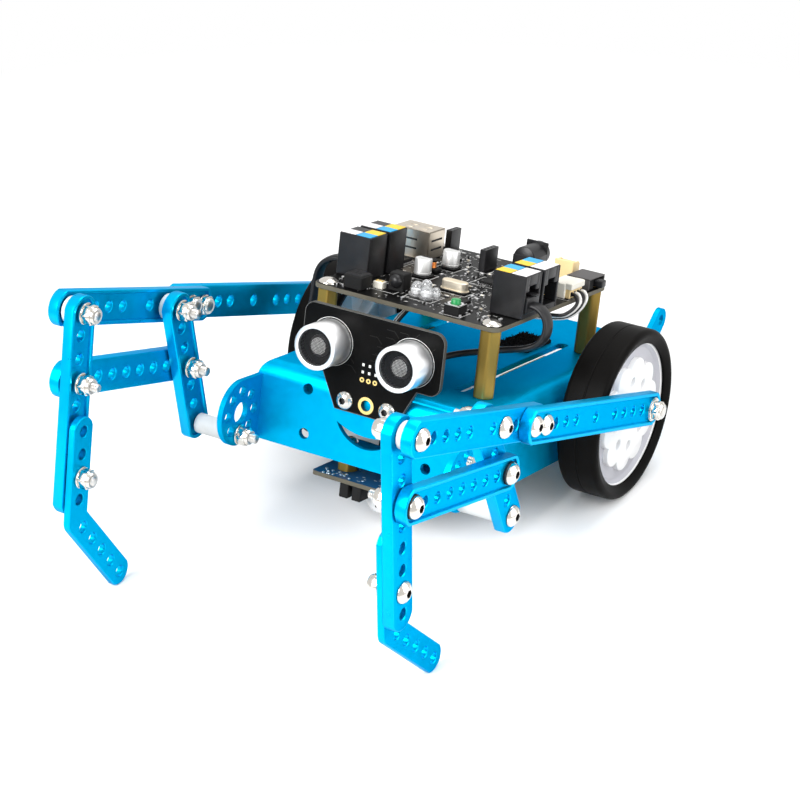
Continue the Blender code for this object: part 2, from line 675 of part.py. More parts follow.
def gear_motor(side, label, stand):
    """A small gear motor inside the side wall, with the socket that carries its output shaft."""
    tip = SIDE_IN - SEAT
    face = tip - MOTOR_BOSS_LENGTH
    half = MOTOR_HEIGHT / 2
    nose = AXLE_Y + MOTOR_NOSE
    back = nose - MOTOR_BOX_LENGTH
    inner, outer = sorted((side * (face - MOTOR_WIDTH), side * face))
    bm = bmesh.new()
    box(bm, (inner, back, AXLE_Z - half), (outer, nose, AXLE_Z + half))
    bmesh.ops.bevel(bm, geom=bm.edges[:], offset=SHEET / 2, segments=1, affect="EDGES")
    motor = add(f"{label}_motor", bm, "yellow", stand)
    bm = bmesh.new()
    can_x = side * (face - MOTOR_WIDTH / 2)
    turned(bm, [(0, MOTOR_CAN_RADIUS, False), (MOTOR_CAN_LENGTH + SHEET, MOTOR_CAN_RADIUS, False)], TURNED_SIDES)
    can = facing((can_x, back + SHEET, AXLE_Z), (0, 0, 1), (0, -1, 0))
    combine(motor, tool(f"{label}_motor_can", bm, stand, can), "UNION")
    axis = facing(at(0, AXLE), (0, 1, 0), (side, 0, 0))
    bm = bmesh.new()
    prism(bm, circle((0, 0), MOTOR_BOSS_RADIUS, TURNED_SIDES), face - SHEET, tip)
    combine(motor, tool(f"{label}_motor_boss", bm, stand, axis), "UNION")
    bm = bmesh.new()
    end = SIDE_IN - SHAFT_GRIP - RUNNING
    prism(bm, circle((0, 0), SHAFT_RADIUS + RUNNING, HOLE_SIDES), end, tip + SHEET)
    combine(motor, tool(f"{label}_motor_bore", bm, stand, axis), "DIFFERENCE")


def shell_block(inset):
    """The folded chassis as a solid block, taken in by the sheet on every side but the open ones."""
    half = SIDE_OUT - inset
    low = CHASSIS_BOTTOM - inset
    high = CHASSIS_TOP - inset
    bm = bmesh.new()
    box(bm, (-half, CHASSIS_FRONT + inset, low), (half, CHASSIS_REAR + inset, high))
    top = [e for e in bm.edges if all(abs(v.co.z - high) < FIT for v in e.verts)]
    folded = [e for e in top if not all(abs(v.co.y - CHASSIS_REAR - inset) < FIT for v in e.verts)]
    outer = [e for e in folded if len(e.link_faces) == 2 and abs(e.calc_face_angle(0)) > FIT]
    radius = BEND_RADIUS - inset
    bmesh.ops.bevel(bm, geom=outer, offset=radius, segments=BEND_SIDES, profile=0.5, affect="EDGES")
    return bm


def crescent(bm, near, far):
    """A curved slot cutter for the front face, between two depths."""
    def sag_arc(sag, sides):
        radius = (CRESCENT_HALF**2 + sag**2) / (2 * sag)
        spread = math.asin(CRESCENT_HALF / radius)
        centre = (0, CRESCENT_Z - sag + radius)
        return arc(centre, radius, -math.pi / 2 - spread, -math.pi / 2 + spread, sides)

    lower = sag_arc(CRESCENT_LOWER_SAG, 12)
    upper = sag_arc(CRESCENT_UPPER_SAG, 12)
    prism(bm, lower + upper[-2:0:-1], near, far)


def side_tab(side, outline, carrier, name):
    """A flat tab in the plane of a side wall, from a (Y, Z) outline."""
    bm = bmesh.new()
    low, high = sorted((side * SIDE_IN, side * SIDE_OUT))
    prism(bm, outline, low, high)
    upright = Matrix(((0, 0, 1, 0), (1, 0, 0, 0), (0, 1, 0, 0), (0, 0, 0, 1)))
    return tool(name, bm, carrier, upright)


def ear_outline():
    nose = arc(EAR_CENTRE, EAR_RADIUS, math.pi / 2, 1.5 * math.pi, TURNED_SIDES)
    root = CHASSIS_FRONT + 2 * BEND_RADIUS
    return nose + [(root, EAR_CENTRE.y - EAR_RADIUS), (root, EAR_CENTRE.y + EAR_RADIUS - 2 * FIT)]


def finger_outline():
    start, tip = Vector(FINGER_BASE), Vector(FINGER_TIP)
    angle = math.atan2(tip.y - start.y, tip.x - start.x)
    bar = bar_outline((tip - start).length, FINGER_WIDTH, FINGER_WIDTH / 2)
    turn = Matrix.Rotation(angle, 2)
    return [tuple(start + turn @ Vector(point)) for point in bar]


def chassis(stand):
    """The folded sheet: top, front, sides, leg ears, rear fingers and the flange under the nose."""
    body = add("chassis", shell_block(0.0), "blue", stand)
    combine(body, tool("chassis_hollow", shell_block(SHEET), stand), "DIFFERENCE", "MANIFOLD")
    for side, label in ((1, "right"), (-1, "left")):
        combine(body, side_tab(side, ear_outline(), stand, f"{label}_ear"), "UNION", "MANIFOLD")
        combine(body, side_tab(side, finger_outline(), stand, f"{label}_finger"), "UNION", "MANIFOLD")
    bm = bmesh.new()
    half = FLANGE_WIDTH / 2
    front = CHASSIS_FRONT + SHEET / 2
    box(bm, (-half, front, CHASSIS_BOTTOM), (half, CHASSIS_FRONT + FLANGE_DEPTH, CHASSIS_BOTTOM + SHEET))
    combine(body, tool("nose_flange", bm, stand), "UNION", "MANIFOLD")

    reach = SIDE_OUT + SHEET
    bm = bmesh.new()
    across = [(AXLE, SHAFT_RADIUS + AXLE_CLEAR), (EAR_CENTRE, EAR_CENTRE_HOLE), (Vector(FINGER_TIP), HOLE_RADIUS)]
    for i in range(8):
        angle = math.tau * i / 8 - math.pi / 2
        spot = EAR_CENTRE + EAR_PCD_RADIUS * Vector((math.cos(angle), math.sin(angle)))
        across.append((spot, HOLE_RADIUS))
    for side in (1, -1):
        low, high = sorted((side * (SIDE_IN - SHEET), side * reach))
        for spot, radius in across:
            prism(bm, circle(spot, radius, HOLE_SIDES), low, high)
    upright = Matrix(((0, 0, 1, 0), (1, 0, 0, 0), (0, 1, 0, 0), (0, 0, 0, 1)))
    combine(body, tool("side_holes", bm, stand, upright), "DIFFERENCE", "MANIFOLD")

    bm = bmesh.new()
    near, far = -CHASSIS_FRONT - 2 * SHEET, -CHASSIS_FRONT + SHEET
    for x in (FRONT_HOLE_X, -FRONT_HOLE_X):
        for height in FRONT_HOLE_HEIGHTS:
            prism(bm, circle((x, height), HOLE_RADIUS, HOLE_SIDES), near, far)
    for x in (SENSOR_HOLE_X, -SENSOR_HOLE_X):
        prism(bm, circle((x, SENSOR_HOLE_Z), HOLE_RADIUS, HOLE_SIDES), near, far)
    crescent(bm, near, far)
    forward = Matrix(((1, 0, 0, 0), (0, 0, -1, 0), (0, 1, 0, 0), (0, 0, 0, 1)))
    combine(body, tool("front_holes", bm, stand, forward), "DIFFERENCE", "MANIFOLD")

    bm = bmesh.new()
    low, high = CHASSIS_TOP - 2 * SHEET, CHASSIS_TOP + SHEET
    for x in (SLOT_X, -SLOT_X):
        slot = bar_outline(SLOT_END - SLOT_START, SLOT_WIDTH, SLOT_WIDTH / 2)
        slot = [(x - v, SLOT_START + u) for u, v in slot]
        prism(bm, slot, low, high)
    for x, y in standoff_places():
        prism(bm, circle((x, y), HOLE_RADIUS, HOLE_SIDES), low, high)
    for x in (LINE_POST_X, -LINE_POST_X):
        hole = circle((x, LINE_POST_Y), HOLE_RADIUS, HOLE_SIDES)
        prism(bm, hole, CHASSIS_BOTTOM - SHEET, CHASSIS_BOTTOM + 2 * SHEET)
    combine(body, tool("top_slots", bm, stand), "DIFFERENCE", "MANIFOLD")


def standoff_places():
    x = BOARD_WIDTH / 2 - STANDOFF_INSET_X
    ys = (BOARD_FRONT + STANDOFF_INSET_Y, BOARD_REAR - STANDOFF_INSET_Y)
    return [(s * x, y) for y in ys for s in (1, -1)]


def board_and_standoffs(stand):
    """The main board and the four hexagonal pillars under it."""
    corners = ("front_right", "front_left", "rear_right", "rear_left")
    for label, (x, y) in zip(corners, standoff_places()):
        bm = bmesh.new()
        low, high = CHASSIS_TOP + FIT, BOARD_UNDER - FIT
        turned(bm, [(low, STANDOFF_APOTHEM, True), (high, STANDOFF_APOTHEM, True)], TURNED_SIDES)
        add(f"{label}_standoff", bm, "brass", stand, Matrix.Translation((x, y, 0)))
    bm = bmesh.new()
    middle = (0, (BOARD_FRONT + BOARD_REAR) / 2)
    outline = rounded_box(BOARD_WIDTH, BOARD_LENGTH, BOARD_CORNER, middle)
    holes = [circle(place, HOLE_RADIUS, HOLE_SIDES) for place in standoff_places()]
    prism(bm, outline, BOARD_UNDER, BOARD_TOP, holes)
    add("main_board", bm, "board", stand)


def socket_block(sunk):
    """A square lead socket standing on local Z = 0, or sunk below it, its mouth towards local +X."""
    half = SOCKET_WIDTH / 2
    bm = bmesh.new()
    box(bm, (-SOCKET_DEPTH, -half, -sunk), (0, half, SOCKET_HEIGHT))
    return bm


def open_socket(socket, name, stand, matrix):
    """The mouth of a lead socket, with the notch for its lead's latch above it."""
    mouth = SOCKET_MOUTH_WIDTH / 2
    low, high = SOCKET_MOUTH_LOW, SOCKET_MOUTH_LOW + SOCKET_MOUTH_HEIGHT
    bm = bmesh.new()
    box(bm, (-SOCKET_MOUTH_DEPTH, -mouth, low), (SHEET, mouth, high))
    combine(socket, tool(f"{name}_mouth", bm, stand, matrix), "DIFFERENCE")
    latch = mouth / 2
    bm = bmesh.new()
    box(bm, (-SOCKET_MOUTH_DEPTH / 2, -latch, high - FIT), (SHEET, latch, high + SHEET))
    combine(socket, tool(f"{name}_notch", bm, stand, matrix), "DIFFERENCE")


def fused_socket(board, name, stand, matrix):
    """A lead socket that is one piece with the board it stands on."""
    combine(board, tool(f"{name}_block", socket_block(SEAT), stand, matrix), "UNION")
    open_socket(board, name, stand, matrix)


def board_sockets(stand):
    """Lead sockets along both edges, the data socket, the power jack, the switch and the button."""
    edge = BOARD_WIDTH / 2 + SOCKET_OVERHANG
    base = BOARD_TOP + FIT
    for side, label in ((1, "right"), (-1, "left")):
        for y, row in zip(SOCKET_ROWS, ("front", "rear")):
            matrix = facing((side * edge, y, base), (side, 0, 0), (0, 0, 1))
            name = f"{label}_{row}_socket"
            open_socket(add(name, socket_block(0), "black", stand, matrix), name, stand, matrix)

    depth, width, height = USB_SIZE
    edge = BOARD_WIDTH / 2 + USB_OVERHANG
    bm = bmesh.new()
    box(bm, (-edge, USB_Y - width / 2, base), (-edge + depth, USB_Y + width / 2, base + height))
    shell = add("data_socket", bm, "shell", stand)
    bm = bmesh.new()
    lip = width / 2 - SHEET
    box(bm, (-edge - SHEET, USB_Y - lip, base + SHEET), (-edge + depth / 2, USB_Y + lip, base + height - SHEET))
    combine(shell, tool("data_socket_mouth", bm, stand), "DIFFERENCE")

    width, depth, height = JACK_SIZE
    rear = BOARD_REAR + SOCKET_OVERHANG
    bm = bmesh.new()
    box(bm, (JACK_X - width / 2, rear - depth, base), (JACK_X + width / 2, rear, base + height))
    jack = add("power_jack", bm, "black", stand)
    bm = bmesh.new()
    turned(bm, [(-depth / 2, width / 3, False), (SHEET, width / 3, False)], HOLE_SIDES)
    bore = facing((JACK_X, rear, base + height / 2), (1, 0, 0), (0, 1, 0))
    combine(jack, tool("power_jack_bore", bm, stand, bore), "DIFFERENCE")
    slide_switch(stand, base)
    push_button(stand, base)


def slide_switch(stand, base):
    """The power switch at the right edge, with a lever that slides along the edge."""
    width, length, height = SWITCH_SIZE
    reach, thick, tall = SWITCH_LEVER
    face = BOARD_WIDTH / 2 - SOCKET_OVERHANG
    bm = bmesh.new()
    box(bm, (face - width, SWITCH_Y - length / 2, base), (face, SWITCH_Y + length / 2, base + height))
    body = add("switch_body", bm, "alloy", stand)
    middle = base + height / 2
    bm = bmesh.new()
    run = thick + SWITCH_TRAVEL + 2 * RUNNING
    low = SWITCH_Y - thick / 2 - RUNNING
    gap = tall / 2 + RUNNING
    box(bm, (face - reach / 2 - RUNNING, low, middle - gap), (face + SHEET, low + run, middle + gap))
    combine(body, tool("switch_slot", bm, stand), "DIFFERENCE")
    axis = empty("switch_axis", (face, SWITCH_Y, middle), stand)
    bm = bmesh.new()
    low = (face - reach / 2, SWITCH_Y - thick / 2, middle - tall / 2)
    box(bm, low, (face + reach / 2, SWITCH_Y + thick / 2, middle + tall / 2))
    add("switch_lever", bm, "black", axis)


def push_button(stand, base):
    """The push button near the board's front edge, with a cap that is pressed down."""
    half = BUTTON_SIDE / 2
    bm = bmesh.new()
    box(bm, (BUTTON_X - half, BUTTON_Y - half, base), (BUTTON_X + half, BUTTON_Y + half, base + BUTTON_HEIGHT))
    body = add("button_body", bm, "black", stand)
    bm = bmesh.new()
    top = base + BUTTON_HEIGHT
    bore = circle((BUTTON_X, BUTTON_Y), BUTTON_BORE_RADIUS, HOLE_SIDES)
    prism(bm, bore, top - BUTTON_BORE_DEPTH, top + SHEET)
    combine(body, tool("button_bore", bm, stand), "DIFFERENCE")
    axis = empty("button_axis", (BUTTON_X, BUTTON_Y, top), stand)
    bm = bmesh.new()
    prism(bm, circle((BUTTON_X, BUTTON_Y), BUTTON_CAP_RADIUS, HOLE_SIDES), top - SEAT, top + BUTTON_CAP_HEIGHT)
    add("button_cap", bm, "green", axis)


def distance_sensor(stand):
    """The sensor's narrow-footed board with its lead socket behind, and the two round transducers."""
    half = SENSOR_WIDTH / 2
    c = SENSOR_CORNER
    top = SENSOR_TOP
    outline = arc((half - c, top - c), c, 0, math.pi / 2, 4)
    outline += arc((c - half, top - c), c, math.pi / 2, math.pi, 4)
    outline += arc((c - half, SENSOR_SHOULDER + c), c, math.pi, 1.5 * math.pi, 4)
    outline += [(-SENSOR_FOOT_HALF - SENSOR_FOOT_SPREAD, SENSOR_SHOULDER), (-SENSOR_FOOT_HALF, SENSOR_BOTTOM)]
    outline += [(SENSOR_FOOT_HALF, SENSOR_BOTTOM), (SENSOR_FOOT_HALF + SENSOR_FOOT_SPREAD, SENSOR_SHOULDER)]
    outline += arc((half - c, SENSOR_SHOULDER + c), c, -math.pi / 2, 0, 4)
    holes = [circle((s * SENSOR_HOLE_X, SENSOR_HOLE_Z), HOLE_RADIUS, HOLE_SIDES) for s in (1, -1)]
    holes.append(circle((0, SENSOR_HOLE_Z), HOLE_RADIUS, HOLE_SIDES))
    bm = bmesh.new()
    prism(bm, outline, -SENSOR_BACK, -SENSOR_FACE, holes)
    forward = Matrix(((1, 0, 0, 0), (0, 0, -1, 0), (0, 1, 0, 0), (0, 0, 0, 1)))
    board = add("sensor_board", bm, "board", stand, forward)
    place = facing((SOCKET_DEPTH / 2, SENSOR_BACK, SENSOR_SOCKET_Z), (1, 0, 0), (0, 1, 0))
    fused_socket(board, "sensor_socket", stand, place)

    for side, label in ((1, "right"), (-1, "left")):
        bm = bmesh.new()
        dish = EYE_RADIUS - EYE_RIM
        levels = [(FIT, EYE_RADIUS, False), (EYE_LENGTH, EYE_RADIUS, False), (EYE_LENGTH, dish, False)]
        levels += [(EYE_LENGTH - EYE_DISH, dish, False)]
        turned(bm, levels, 2 * TURNED_SIDES)
        matrix = facing((side * EYE_X, SENSOR_FACE, EYE_Z), (1, 0, 0), (0, -1, 0))
        add(f"{label}_transducer", bm, "alloy", stand, matrix)


def line_sensor(stand):
    """The line sensor's board on two posts under the nose, with its optics below and its socket above."""
    bm = bmesh.new()
    under = LINE_TOP - LINE_THICK
    middle = (0, LINE_FRONT + LINE_DEPTH / 2)
    outline = rounded_box(LINE_WIDTH, LINE_DEPTH, LINE_THICK, middle)
    holes = [circle((s * LINE_POST_X, LINE_POST_Y), HOLE_RADIUS, HOLE_SIDES) for s in (1, -1)]
    prism(bm, outline, under, LINE_TOP, holes)
    board = add("line_sensor", bm, "navy", stand)
    width, depth, height = LINE_BLOCK
    for side, label in ((1, "right"), (-1, "left")):
        bm = bmesh.new()
        x = side * LINE_BLOCK_X
        low = (x - width / 2, LINE_FRONT + FIT, under - height)
        box(bm, low, (x + width / 2, LINE_FRONT + depth, under + LINE_THICK / 2))
        combine(board, tool(f"{label}_line_optic", bm, stand), "UNION")
    place = facing((-SOCKET_DEPTH / 2, LINE_SOCKET_Y, LINE_TOP), (-1, 0, 0), (0, 0, 1))
    fused_socket(board, "line_socket", stand, place)
    for side, label in ((1, "right"), (-1, "left")):
        bm = bmesh.new()
        low, high = LINE_TOP + FIT, CHASSIS_BOTTOM - FIT
        turned(bm, [(low, STANDOFF_APOTHEM, True), (high, STANDOFF_APOTHEM, True)], TURNED_SIDES)
        add(f"{label}_line_post", bm, "brass", stand, Matrix.Translation((side * LINE_POST_X, LINE_POST_Y, 0)))


def ball_caster(stand):
    """A domed housing under the line sensor, and the ball that rolls in it."""
    top = LINE_TOP - LINE_THICK - FIT
    centre = top - CASTER_HEIGHT + CASTER_BALL - CASTER_SHOW
    cup = CASTER_BALL + RUNNING
    mouth = top - CASTER_HEIGHT
    bm = bmesh.new()
    outer = [(0.0, 1.0), (0.45, 1.0), (0.75, 0.9), (1.0, 0.72)]
    levels = [(top - CASTER_HEIGHT * h, CASTER_RADIUS * r, False) for h, r in outer]
    start = math.asin((mouth - centre) / cup)
    for i in range(6):
        angle = start + (math.radians(80) - start) * i / 5
        levels.append((centre + cup * math.sin(angle), cup * math.cos(angle), False))
    turned(bm, levels, TURNED_SIDES)
    add("caster_housing", bm, "white", stand, Matrix.Translation((0, CASTER_Y, 0)))
    axis = empty("caster_axis", (0, CASTER_Y, centre), stand)
    bm = bmesh.new()
    bmesh.ops.create_uvsphere(bm, u_segments=TURNED_SIDES, v_segments=TURNED_SIDES // 2, radius=CASTER_BALL)
    add("caster_ball", bm, "alloy", axis, Matrix.Translation((0, CASTER_Y, centre)))


def cord_points(route):
    """Evenly counted points of a smooth curve through the route."""
    points = [Vector(p) for p in route]
    points = [2 * points[0] - points[1], *points, 2 * points[-1] - points[-2]]
    spans = len(points) - 3
    smooth = []
    for i in range(CORD_POINTS + 1):
        place = spans * i / CORD_POINTS
        k = min(int(place), spans - 1)
        t = place - k
        a, b, c, d = points[k : k + 4]
        bend = (2 * a - 5 * b + 4 * c - d) * t**2 + (3 * b - a - 3 * c + d) * t**3
        smooth.append(0.5 * (2 * b + (c - a) * t + bend))
    return smooth


def cord(name, route, stand):
    """A lead along its route, as a round tube with closed ends."""
    curve = bpy.data.curves.new(name, "CURVE")
    curve.dimensions = "3D"
    curve.bevel_depth = CORD_RADIUS
    curve.bevel_resolution = 2
    curve.use_fill_caps = True
    spline = curve.splines.new("POLY")
    points = cord_points(route)
    spline.points.add(len(points) - 1)
    for spot, point in zip(spline.points, points):
        spot.co = (*point, 1)
    curve.materials.append(material("black"))
    made = bpy.data.objects.new(name, curve)
    made.parent = stand
    bpy.context.collection.objects.link(made)


def stand_place(tilt):
    """Where the tipped frame sits so that it stands on Z = 0, centred between its front and rear ends."""
    turn = Matrix.Rotation(-tilt, 2)
    hips = [(turn @ pivots(side)["hip"]).x - BEAM_WIDTH / 2 for side in CRANK_ANGLES]
    heels = [(turn @ foot_ends(side)[0]).x - FOOT_WIDTH / 2 for side in CRANK_ANGLES]
    front = min(hips + heels)
    rear = (turn @ Vector(FINGER_TIP)).x + FINGER_WIDTH / 2
    floor = (turn @ AXLE).y - WHEEL_RADIUS
    return Vector((0, -(front + rear) / 2, -floor))


def main():
    for old in list(bpy.data.objects):
        bpy.data.objects.remove(old)
    tilt = floor_tilt()
    stand = empty("stand", stand_place(tilt))
    stand.rotation_euler = (-tilt, 0, 0)
    chassis(stand)
    board_and_standoffs(stand)
    board_sockets(stand)
    distance_sensor(stand)
    line_sensor(stand)
    ball_caster(stand)
    for side, label in ((1, "right"), (-1, "left")):
        gear_motor(side, label, stand)
        wheel(side, label, stand)
        leg_linkage(side, label, stand)
    cord("sensor_lead", SENSOR_LEAD_ROUTE, stand)
    cord("line_lead", LINE_LEAD_ROUTE, stand)


main()
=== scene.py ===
"""The looks of a two-wheeled robot car with crank-driven walking legs, on the frame of its solid model.

Pieces are laid out in millimetres in the chassis frame: X across, Y to the rear, Z up from the legs'
ground pivots. TO_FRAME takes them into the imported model's metres, where the robot faces -Y and stands
on Z = 0. The camera, the floor and the lamps are in metres.
"""

import json
import math
import random

import bmesh
import bpy
from mathutils import Matrix, Vector


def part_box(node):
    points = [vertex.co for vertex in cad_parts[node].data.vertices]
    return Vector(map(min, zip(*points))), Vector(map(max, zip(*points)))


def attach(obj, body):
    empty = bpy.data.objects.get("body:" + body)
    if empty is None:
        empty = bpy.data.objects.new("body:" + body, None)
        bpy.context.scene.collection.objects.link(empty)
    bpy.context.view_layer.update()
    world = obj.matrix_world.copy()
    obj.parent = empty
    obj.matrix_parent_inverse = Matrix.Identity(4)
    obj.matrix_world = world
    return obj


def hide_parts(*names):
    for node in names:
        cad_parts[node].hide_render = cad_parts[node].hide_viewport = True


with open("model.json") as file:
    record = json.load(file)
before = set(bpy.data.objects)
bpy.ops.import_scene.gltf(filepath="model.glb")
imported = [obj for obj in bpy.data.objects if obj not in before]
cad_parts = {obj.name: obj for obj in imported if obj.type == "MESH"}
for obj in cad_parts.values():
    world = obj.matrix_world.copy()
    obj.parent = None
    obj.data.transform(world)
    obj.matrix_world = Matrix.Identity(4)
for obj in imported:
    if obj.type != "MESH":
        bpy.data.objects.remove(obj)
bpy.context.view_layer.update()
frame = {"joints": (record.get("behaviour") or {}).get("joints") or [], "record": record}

MM = 0.001
SIDES = ((1, "right"), (-1, "left"))

# The gap left where one piece seats on another
SEAT = 0.1

# Beams, feet and bolts
GROUND = (0.0, 0.0)
BOLT_RADIUS = 1.65
LOOSE_BOLT_RADIUS = 1.5
BOLT_TAIL = 2.5
FLUSH_TAIL = 0.3
HOLE_PITCH = 8
HOLE_RADIUS = 2
BEAM_WIDTH = 12
BEAM_THICK = 4
BEAM_END_SAG = 4
GROOVE_INSET = 1.3
GROOVE_DEPTH = 1
FRONT_LINK_HOLES = (0, 1, 2, 3, 4, 6, 7, 8, 9, 10)
FRONT_LINK_SPLICE = 9
REAR_BEAM_HOLES = (0, 1, 2, 3, 4, 6, 8, 9, 10, 11, 12)
FOOT_WIDTH = 10
FOOT_THICK = 2.6
FOOT_END_SAG = 3.6
FOOT_FIRST_HOLE = 5
FOOT_UPPER_HOLES = 4
FOOT_BOLT_HOLE = 7
FOOT_CORNER = 71.5
FOOT_LOWER_FIRST = 4.5
FOOT_LOWER_HOLES = 5
FOOT_BEND = math.radians(45)

# Layers across the legs, from the chassis outwards
SIDE_OUT = 46
SIDE_IN = 44
LAYER_1 = 61.2
LAYER_2 = 67.9
LAYER_3 = 72
LAYER_LOWER = 65.7

# Chassis
CHASSIS_FRONT = 12
CHASSIS_REAR = 148
CHASSIS_TOP = 26
CHASSIS_BOTTOM = -4
SHEET = 2
SHEET_EDGE = 0.25
BEND_RADIUS = 7
EAR_CENTRE = (0.0, 8)
EAR_RADIUS = 12
EAR_PCD_RADIUS = 8
EAR_CENTRE_HOLE = 4
FLANGE_HALF = 25
FLANGE_DEPTH = 20.8
SLOT_X = 23.5
SLOT_ENDS = (34, 114)
SLOT_WIDTH = 4
FRONT_HOLES = ((24.8, 2.5), (24.8, 19), (-24.8, 2.5), (-24.8, 19))
CRESCENT_HALF = 12
CRESCENT_Z = 10.5
CRESCENT_SAGS = (7.5, 3)
FINGER_WIDTH = 9.4
FINGER_BASE = (138, 20)
FINGER_TIP = (151, 34)

# Wheels and motors
AXLE = (93, 13.6)
SHAFT_HOLE = 3.7
WHEEL_RADIUS = 31.9
WHEEL_IN = 49.3
WHEEL_OUT = 65.3
WEB_OUT = 63.5
WEB_IN = 59
HUB_RISE = 2
HUB_BORE = 3
HUB_RIBS = 6
HUB_LOBES = 10
HUB_LOBE_RADIUS = 6
HUB_LOBE_PLACE = 15.3
HUB_LOBE_TURN = math.radians(14)
TYRE_LIP_DEPTH = 2.2
TYRE_LIP_RADIUS = 26.6
TYRE_FACE_RADIUS = 29.6
RIM_RADIUS = 28
RIM_INNER = 25.5
CRANK_RADIUS = 12.5
MOTOR_FACE = 39.2
MOTOR_WIDTH = 18.5
MOTOR_HALF = 10.1
MOTOR_ENDS = (67, 104)
MOTOR_CAN_RADIUS = 8.8
MOTOR_CAN_LENGTH = 26

# Main board and what stands on it
BOARD_HALF = 37.5
BOARD_FRONT = 28.5
BOARD_REAR = 116.5
BOARD_TOP = 52.3
BOARD_THICK = 1.6
STANDOFF_X = 33
STANDOFF_YS = (33, 112)
SOCKET_EDGE = 38
SOCKET_DEPTH = 13
SOCKET_HALF = 6.1
SOCKET_HEIGHT = 15.5
SOCKET_ROWS = (51.6, 65.8)
MOUTH_HALF = 4.9
MOUTH_LOW = 2.2
MOUTH_HIGH = 9.4
MOUTH_DEPTH = 10
LEAD_CONTACTS = tuple((i - 2.5) * 1.05 for i in range(6))
PIN_PITCH = 2.54
MOTOR_WIRE_ROWS = (85.8, 88.3, 90.8, 93.3)
TRACES = 150
PRINT_MARKS = 340
SMALL_PARTS = 105

# Clear lamps on the board: place, radius and height
BOARD_LAMPS = ((-3.4, 44, 2.2, 5.2), (1.2, 43.2, 2.4, 4.7), (-1, 46.5, 2.1, 5.8), (3.3, 45.8, 1.8, 4))

# Printed frames round parts on the board: corner, width and depth
PRINTED_FRAMES = (
    (-21.5, 38.5, 12, 12.5), (-5.8, 38.5, 11.2, 10.5), (-3, 56, 12.5, 7.5), (-19.5, 63.5, 9, 9.5),
    (-18.5, 82.5, 9, 9.5), (13.5, 30.5, 8, 8), (1, 74.5, 12.5, 12.5), (28.5, 83, 8.5, 13),
    (16.5, 109.8, 9.5, 6.4), (-29, 107.5, 5, 7.5), (-6, 91.5, 5.5, 11), (-33.5, 74.2, 7, 10.5),
)

# Places under other parts, where no small part goes: low and high corners
BOARD_KEPT_CLEAR = (
    (23.7, 44.5, 38.7, 73), (-38.7, 44.5, -23.7, 73), (-37.5, 87, -23.5, 101.5), (2.5, 102.5, 12.5, 117),
    (26.5, 100, 37.5, 116.5), (11.5, 90.5, 19, 99.5), (10.5, 44, 17, 51),
)

# Sensors and caster
SENSOR_FACE = 10.1
SENSOR_BACK = 11.7
SENSOR_HALF = 28
SENSOR_TOP = 51.5
SENSOR_SHOULDER = 29
SENSOR_BOTTOM = 15.5
SENSOR_FOOT_HALF = 12.5
SENSOR_FOOT_SPREAD = 6.7
SENSOR_CORNER = 4
SENSOR_HOLE = (8.5, 19.5)
SENSOR_SOCKET_Z = 35.8
EYE_X = 16.2
EYE_Z = 39
EYE_RADIUS = 8.1
EYE_LENGTH = 11.2
LINE_HALF = 24
LINE_FRONT = 18.5
LINE_DEPTH = 24
LINE_TOP = -12.5
LINE_POST = (15, 28.5)
LINE_SOCKET_Y = 40
CASTER_Y = 34.6
CASTER_RADIUS = 9.5
CASTER_HEIGHT = 10.5
CASTER_BALL = 5.5
CASTER_SHOW = 2.2

# Leads, by the routes of the solid model
RIBBON_WIDTH = 5.8
WIRE_WIDTH = 1.3
SENSOR_LEAD_ROUTE = (
    (30, 51.6, 57), (36, 51.6, 57), (42, 51.6, 56.2), (45.2, 51.6, 52),
    (44.8, 51, 46.2), (40, 50, 42), (30, 46, 39.5), (20, 35, 38),
    (15, 23.8, 36.6), (11, 18, 35.9), (2, 17.7, 35.8),
)
LINE_LEAD_ROUTE = (
    (-30, 51.6, 57), (-36, 51.6, 57), (-43, 51.6, 56), (-48, 51.6, 51),
    (-49.2, 51.3, 40), (-49.4, 50, 20), (-49.2, 49, 2), (-47, 48.5, -7),
    (-40, 48.5, -9.8), (-30, 47.5, -9.4), (-19, 43, -7.4), (-11, 40.2, -6.6),
    (-2, 40, -6.5),
)

# Camera, fitted to the photograph in the chassis frame, in metres
CAMERA_TARGET = (0.018503, 0.000072, 0.028642)
CAMERA_TURN = math.radians(28.38837)
CAMERA_RISE = math.radians(17.71597)
CAMERA_ROLL = math.radians(6.34641)
CAMERA_DISTANCE = 0.819145
CAMERA_LENS = 109.39

# Floor, in metres, and the surround's strength level with the floor and overhead
FLOOR_HALF = 4.0
FLOOR_COLOUR = (0.90, 0.90, 0.90, 1)
FLOOR_FADE = (0.25, 0.50)
FLOOR_BOUNCE = 0.42
SKY_LOW = 0.20
SKY_HIGH = 0.65
WHITE = (1, 1, 1, 1)

